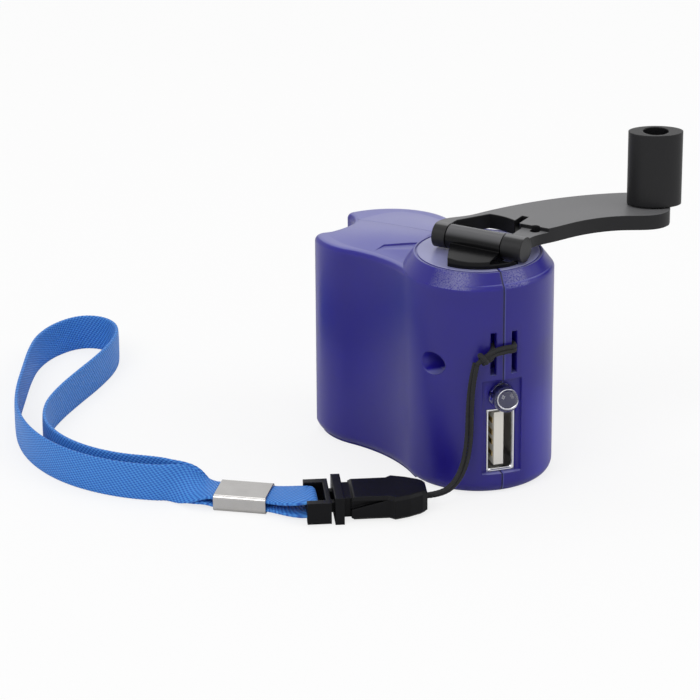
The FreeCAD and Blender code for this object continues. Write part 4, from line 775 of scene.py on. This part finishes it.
# %% [markdown]
# ## The short end round the buckle's bar
#
# Past the crimp the webbing goes on flat, turns round the plug's rear bar and comes back to
# the crimp. Two flat strips would show a gap at the bar, so one band makes the whole turn.

# %% Strap end
BUCKLE_PLACE = np.array([-16.42, -16.84])
BUCKLE_TURN = math.radians(167.5)
END_STEP = 0.2 * MM
FERRULE_LEFT = np.array([0.4848, 0.8746, 0.0])
BUCKLE_LEFT = np.array([0.2164, 0.9763, 0.0])
TURN_FROM, TURN_OVER = 0.30, 0.45
END_IN_CRIMP = (0.4, 3.2, 5.85)
ROUND_THE_BAR = ((24.2, 0.95), (22.6, 1.0), (21.75, 1.1), (21.5, 2.45), (21.75, 3.8),
                 (22.6, 3.9), (24.2, 3.75))
along_buckle = np.array([math.cos(BUCKLE_TURN), math.sin(BUCKLE_TURN)])
end_control = ([in_ferrule(along, LOWER_LAYER) for along in END_IN_CRIMP]
               + [(*(BUCKLE_PLACE + along_buckle * along), height)
                  for along, height in ROUND_THE_BAR]
               + [in_ferrule(along, UPPER_LAYER) for along in reversed(END_IN_CRIMP)])
end_line = evenly(smooth_line(np.array(end_control) * MM), END_STEP)
end_length = distance_along(end_line)[-1]
to_bar = 1 - np.abs(2 * distance_along(end_line) / end_length - 1)
turned = np.clip((to_bar - TURN_FROM) / TURN_OVER, 0, 1)[:, None]
end_across = FERRULE_LEFT * (1 - turned) + BUCKLE_LEFT * turned
strap_end = add_piece("strap_end_band", band_mesh("strap_end_band", end_line, end_across),
                      "strap", web_blue, ["strap_end"])

# %% [markdown]
# ## The crimp
#
# The ferrule is a plain sleeve of nickelled sheet pressed flat over the two layers, with
# rounded long edges that catch a bright line. The grid runs along the outside, round the lip
# and back along the inside, so the sheet has a real edge.

# %% Crimped ferrule
SLEEVE_ROUND = 0.75
MOUTH_FLARE, FLARE_REACH = 0.10, 0.9
SLEEVE_SHORT = 1.2
SLEEVE_ROWS, LIP_ROWS = 40, 7
SIDE_PLAY, CLEARANCE = 0.15, 0.01
ARC_POINTS, FLAT_SLIDE = 8, 0.15


def sleeve_section(along, half_wide, half_tall, radius):
    """A rounded rectangle: four quarter circles of this radius about the inset corners. Each
    starts and ends with a point a little out on its flat, which keeps the flats flat."""
    quarter_turns = np.arange(4) * math.pi / 2
    arc = np.linspace(0, math.pi / 2, ARC_POINTS)
    turn = np.concatenate([[0], arc, [math.pi / 2]])
    angle = (turn + quarter_turns[:, None]).ravel()
    slide = np.tile(np.concatenate([[-FLAT_SLIDE], np.zeros(ARC_POINTS), [FLAT_SLIDE]]), 4)
    corner = np.repeat(quarter_turns + math.pi / 4, len(turn))
    across = ((half_wide - radius)[:, None] * np.sign(np.cos(corner))
              + radius[:, None] * np.cos(angle) - slide * np.sin(angle))
    height = ((half_tall - radius)[:, None] * np.sign(np.sin(corner))
              + radius[:, None] * np.sin(angle) + slide * np.cos(angle))
    return np.stack([np.broadcast_to(along[:, None], across.shape), across, height], 2)


lip = FERRULE_SHEET / 2
sleeve_front = HALF_LONG - SLEEVE_SHORT
outside = np.linspace(-HALF_LONG + lip, sleeve_front - lip, SLEEVE_ROWS)
lip_turn = np.linspace(0, math.pi, LIP_ROWS)[1:-1]
sleeve_along = np.concatenate([outside, sleeve_front - lip + lip * np.sin(lip_turn),
                               outside[::-1], -HALF_LONG + lip - lip * np.sin(lip_turn)])
depth_in = np.concatenate([np.zeros(SLEEVE_ROWS), lip * (1 - np.cos(lip_turn)),
                           np.full(SLEEVE_ROWS, FERRULE_SHEET), lip * (1 + np.cos(lip_turn))])
to_mouth = np.minimum(sleeve_front - sleeve_along, sleeve_along + HALF_LONG)
shrink = depth_in + MOUTH_FLARE * np.clip(to_mouth / FLARE_REACH, 0, 1) ** 0.5
sleeve = sleeve_section(sleeve_along, WEB_WIDE / MM / 2 + SIDE_PLAY + FERRULE_SHEET - shrink,
                        FERRULE_TALL / 2 - CLEARANCE - depth_in, SLEEVE_ROUND - depth_in)
ferrule_turn = np.array([along_ferrule, (-along_ferrule[1], along_ferrule[0])])
sleeve[..., :2] = sleeve[..., :2] @ ferrule_turn + FERRULE_PLACE
sleeve[..., 2] += FERRULE_TALL / 2 + CLEARANCE
ferrule = add_piece("ferrule", grid_mesh("ferrule", sleeve * MM, around=True, closed=True),
                    "strap", looks["ferrule_nickel"], ["crimp_ferrule"])
print("wrist loop", round(loop_length / MM, 1), "mm, short end", round(end_length / MM, 1), "mm")

# %% [markdown]
# ## The socket's folded mouth
#
# A pressed metal socket has a mouth whose edge is folded outwards a little, and that slope
# is the bright line round it. Six rectangles with small round corners, each drawn in and
# set forward by its own amount, make a ring that closes on itself.

# %% Socket mouth
SOCKET_HALF_WIDE, SOCKET_HALF_TALL, SOCKET_MIDDLE = 2.85, 6.55, 11.05
MOUTH_COLUMNS, MOUTH_CORNER = 64, 0.14
MOUTH_STEPS = ((0.0, -13.46), (0.0, -13.56), (0.06, -13.6), (0.42, -13.15), (0.5, -12.9),
               (0.3, -12.9))


def mouth_ring(inset, front):
    """A rectangle with small round corners, drawn in by inset and set so far forward."""
    angle = circle(MOUTH_COLUMNS)
    wide = (SOCKET_HALF_WIDE - inset) * squared(np.cos(angle), MOUTH_CORNER)
    tall = (SOCKET_HALF_TALL - inset) * squared(np.sin(angle), MOUTH_CORNER)
    return np.stack([wide, np.full(MOUTH_COLUMNS, front), SOCKET_MIDDLE + tall], 1)


mouth = np.stack([mouth_ring(inset, front) for inset, front in reversed(MOUTH_STEPS)]) * MM
add_piece("socket_mouth", grid_mesh("socket_mouth", mouth, around=True, closed=True),
          "housing", looks["socket_nickel"])

# %% [markdown]
# ## Inside the lamp
#
# A clear lamp shows the small cup that holds the chip, on one of its two posts. Through the
# lens it reads as a dark inside with a bright rim, so the two have different finishes: the cup
# is painted a dark blue as painted shade, and the rim is bare metal. All of them are turned
# shapes: a radius that changes along the lamp's own axis.

# %% Lamp cup
LAMP_MIDDLE = 20.5
CUP_ASIDE, POST_ASIDE = 0.35, -1.05
CUP_COLUMNS, POST_COLUMNS, RIM_COLUMNS = 40, 16, 48
CUP_PROFILE = ((0.3, -12.7), (0.6, -12.9), (0.7, -14.0), (1.85, -15.5), (1.70, -15.55),
               (0.5, -14.6), (0.02, -14.55))
POST_PROFILE = ((0.22, -12.7), (0.22, -14.6), (0.12, -14.7))
RIM_PROFILE = ((1.24, -15.7), (1.32, -15.85), (1.24, -16.0), (1.14, -15.95), (1.12, -15.8))


def turned_shape(name, profile, columns, aside, ring=False):
    """A profile of radius and depth spun round an axis beside the lamp's own. The profile
    of a ring closes on itself, and any other has its two ends filled."""
    angle = circle(columns)
    radius, depth = np.array(profile).T[:, :, None]
    points = np.stack([aside + radius * np.cos(angle), np.repeat(depth, columns, 1),
                       LAMP_MIDDLE + radius * np.sin(angle)], 2)
    return grid_mesh(name, points * MM, around=True, closed=ring, caps=not ring)


# The cup's dark blue is painted shade for the dim inside of the lamp.
cup_painted_shade = finish("cup_painted_shade", (0.020, 0.020, 0.11), 0.30, second=(0.010, 0.010, 0.07),
                   patch=700.0)
cup_meshes = [turned_shape("cup", CUP_PROFILE, CUP_COLUMNS, CUP_ASIDE),
              turned_shape("post", POST_PROFILE, POST_COLUMNS, POST_ASIDE)]
add_piece("lamp_cup", join_meshes("lamp_cup", cup_meshes), "housing", cup_painted_shade)
add_piece("lamp_rim", turned_shape("lamp_rim", RIM_PROFILE, RIM_COLUMNS, CUP_ASIDE, ring=True),
          "housing", looks["lead_tin"])

# %% [markdown]
# ## Floor and light
#
# A pale floor and soft lamps. The world is white for the camera, for reflections and for
# what is seen through clear plastic, and dimmer as light, so that a colour renders about
# as it is written. The floor gives off most of its own white to the camera alone, which
# leaves only a soft shadow on it.

# %% Floor, world and lamps
FLOOR_HALF = 3.0
FLOOR_GLOW = 0.78
WORLD_LIGHT = 0.55
LOWEST_LAMP = 0.2

corners = [(-FLOOR_HALF, -FLOOR_HALF, 0), (FLOOR_HALF, -FLOOR_HALF, 0),
           (FLOOR_HALF, FLOOR_HALF, 0), (-FLOOR_HALF, FLOOR_HALF, 0)]
floor_mesh = bpy.data.meshes.new("floor")
floor_mesh.from_pydata(corners, [], [(0, 1, 2, 3)])
floor = bpy.data.objects.new("floor", floor_mesh)
scene.collection.objects.link(floor)
paper = finish("floor_paper", (0.93, 0.93, 0.93), 0.9, second=(0.92, 0.92, 0.92), patch=2.0)
floor_mesh.materials.append(paper)
glow = add_node(paper, "ShaderNodeEmission", Strength=1.0)
glow_share = add_node(paper, "ShaderNodeMixShader")
camera_ray = add_node(paper, "ShaderNodeLightPath").outputs["Is Camera Ray"]
link(paper, product(paper, camera_ray, FLOOR_GLOW), glow_share.inputs["Fac"])
link(paper, principled(paper).outputs["BSDF"], glow_share.inputs[1])
link(paper, glow.outputs["Emission"], glow_share.inputs[2])
link(paper, glow_share.outputs["Shader"],
     paper.node_tree.nodes["Material Output"].inputs["Surface"])

world = bpy.data.worlds.new("studio")
scene.world = world
world.use_nodes = True
backdrop = world.node_tree.nodes["Background"]
backdrop.inputs["Color"].default_value = (1, 1, 1, 1)
rays = add_node(world, "ShaderNodeLightPath").outputs
seen = calc(world, "MAXIMUM", rays["Is Camera Ray"], rays["Is Glossy Ray"])
seen = calc(world, "MAXIMUM", seen, rays["Is Transmission Ray"])
link(world, map_range(world, seen, To_Min=WORLD_LIGHT, To_Max=1.0),
     backdrop.inputs["Strength"])


def softbox(name, place, size, share):
    """A square lamp that gives a white floor this share of its brightness.

    Its power grows with the square of its distance, and as it stands lower: share times
    pi squared times distance squared, divided by the upward part of its direction.
    """
    lamp = bpy.data.lights.new(name, "AREA")
    lamp.shape = "SQUARE"
    lamp.size = size
    place = Vector(place)
    steepness = max(LOWEST_LAMP, place.normalized().z)
    lamp.energy = share * math.pi ** 2 * place.length_squared / steepness
    made = bpy.data.objects.new(name, lamp)
    scene.collection.objects.link(made)
    made.location = place
    made.rotation_euler = place.to_track_quat("Z", "Y").to_euler()


softbox("key_softbox", (-0.9, -0.7, 1.2), 0.9, 0.22)
softbox("fill_softbox", (1.0, -0.6, 0.9), 0.9, 0.12)
softbox("top_softbox", (0.1, 0.5, 1.3), 0.8, 0.14)
scene.view_settings.view_transform = "Standard"
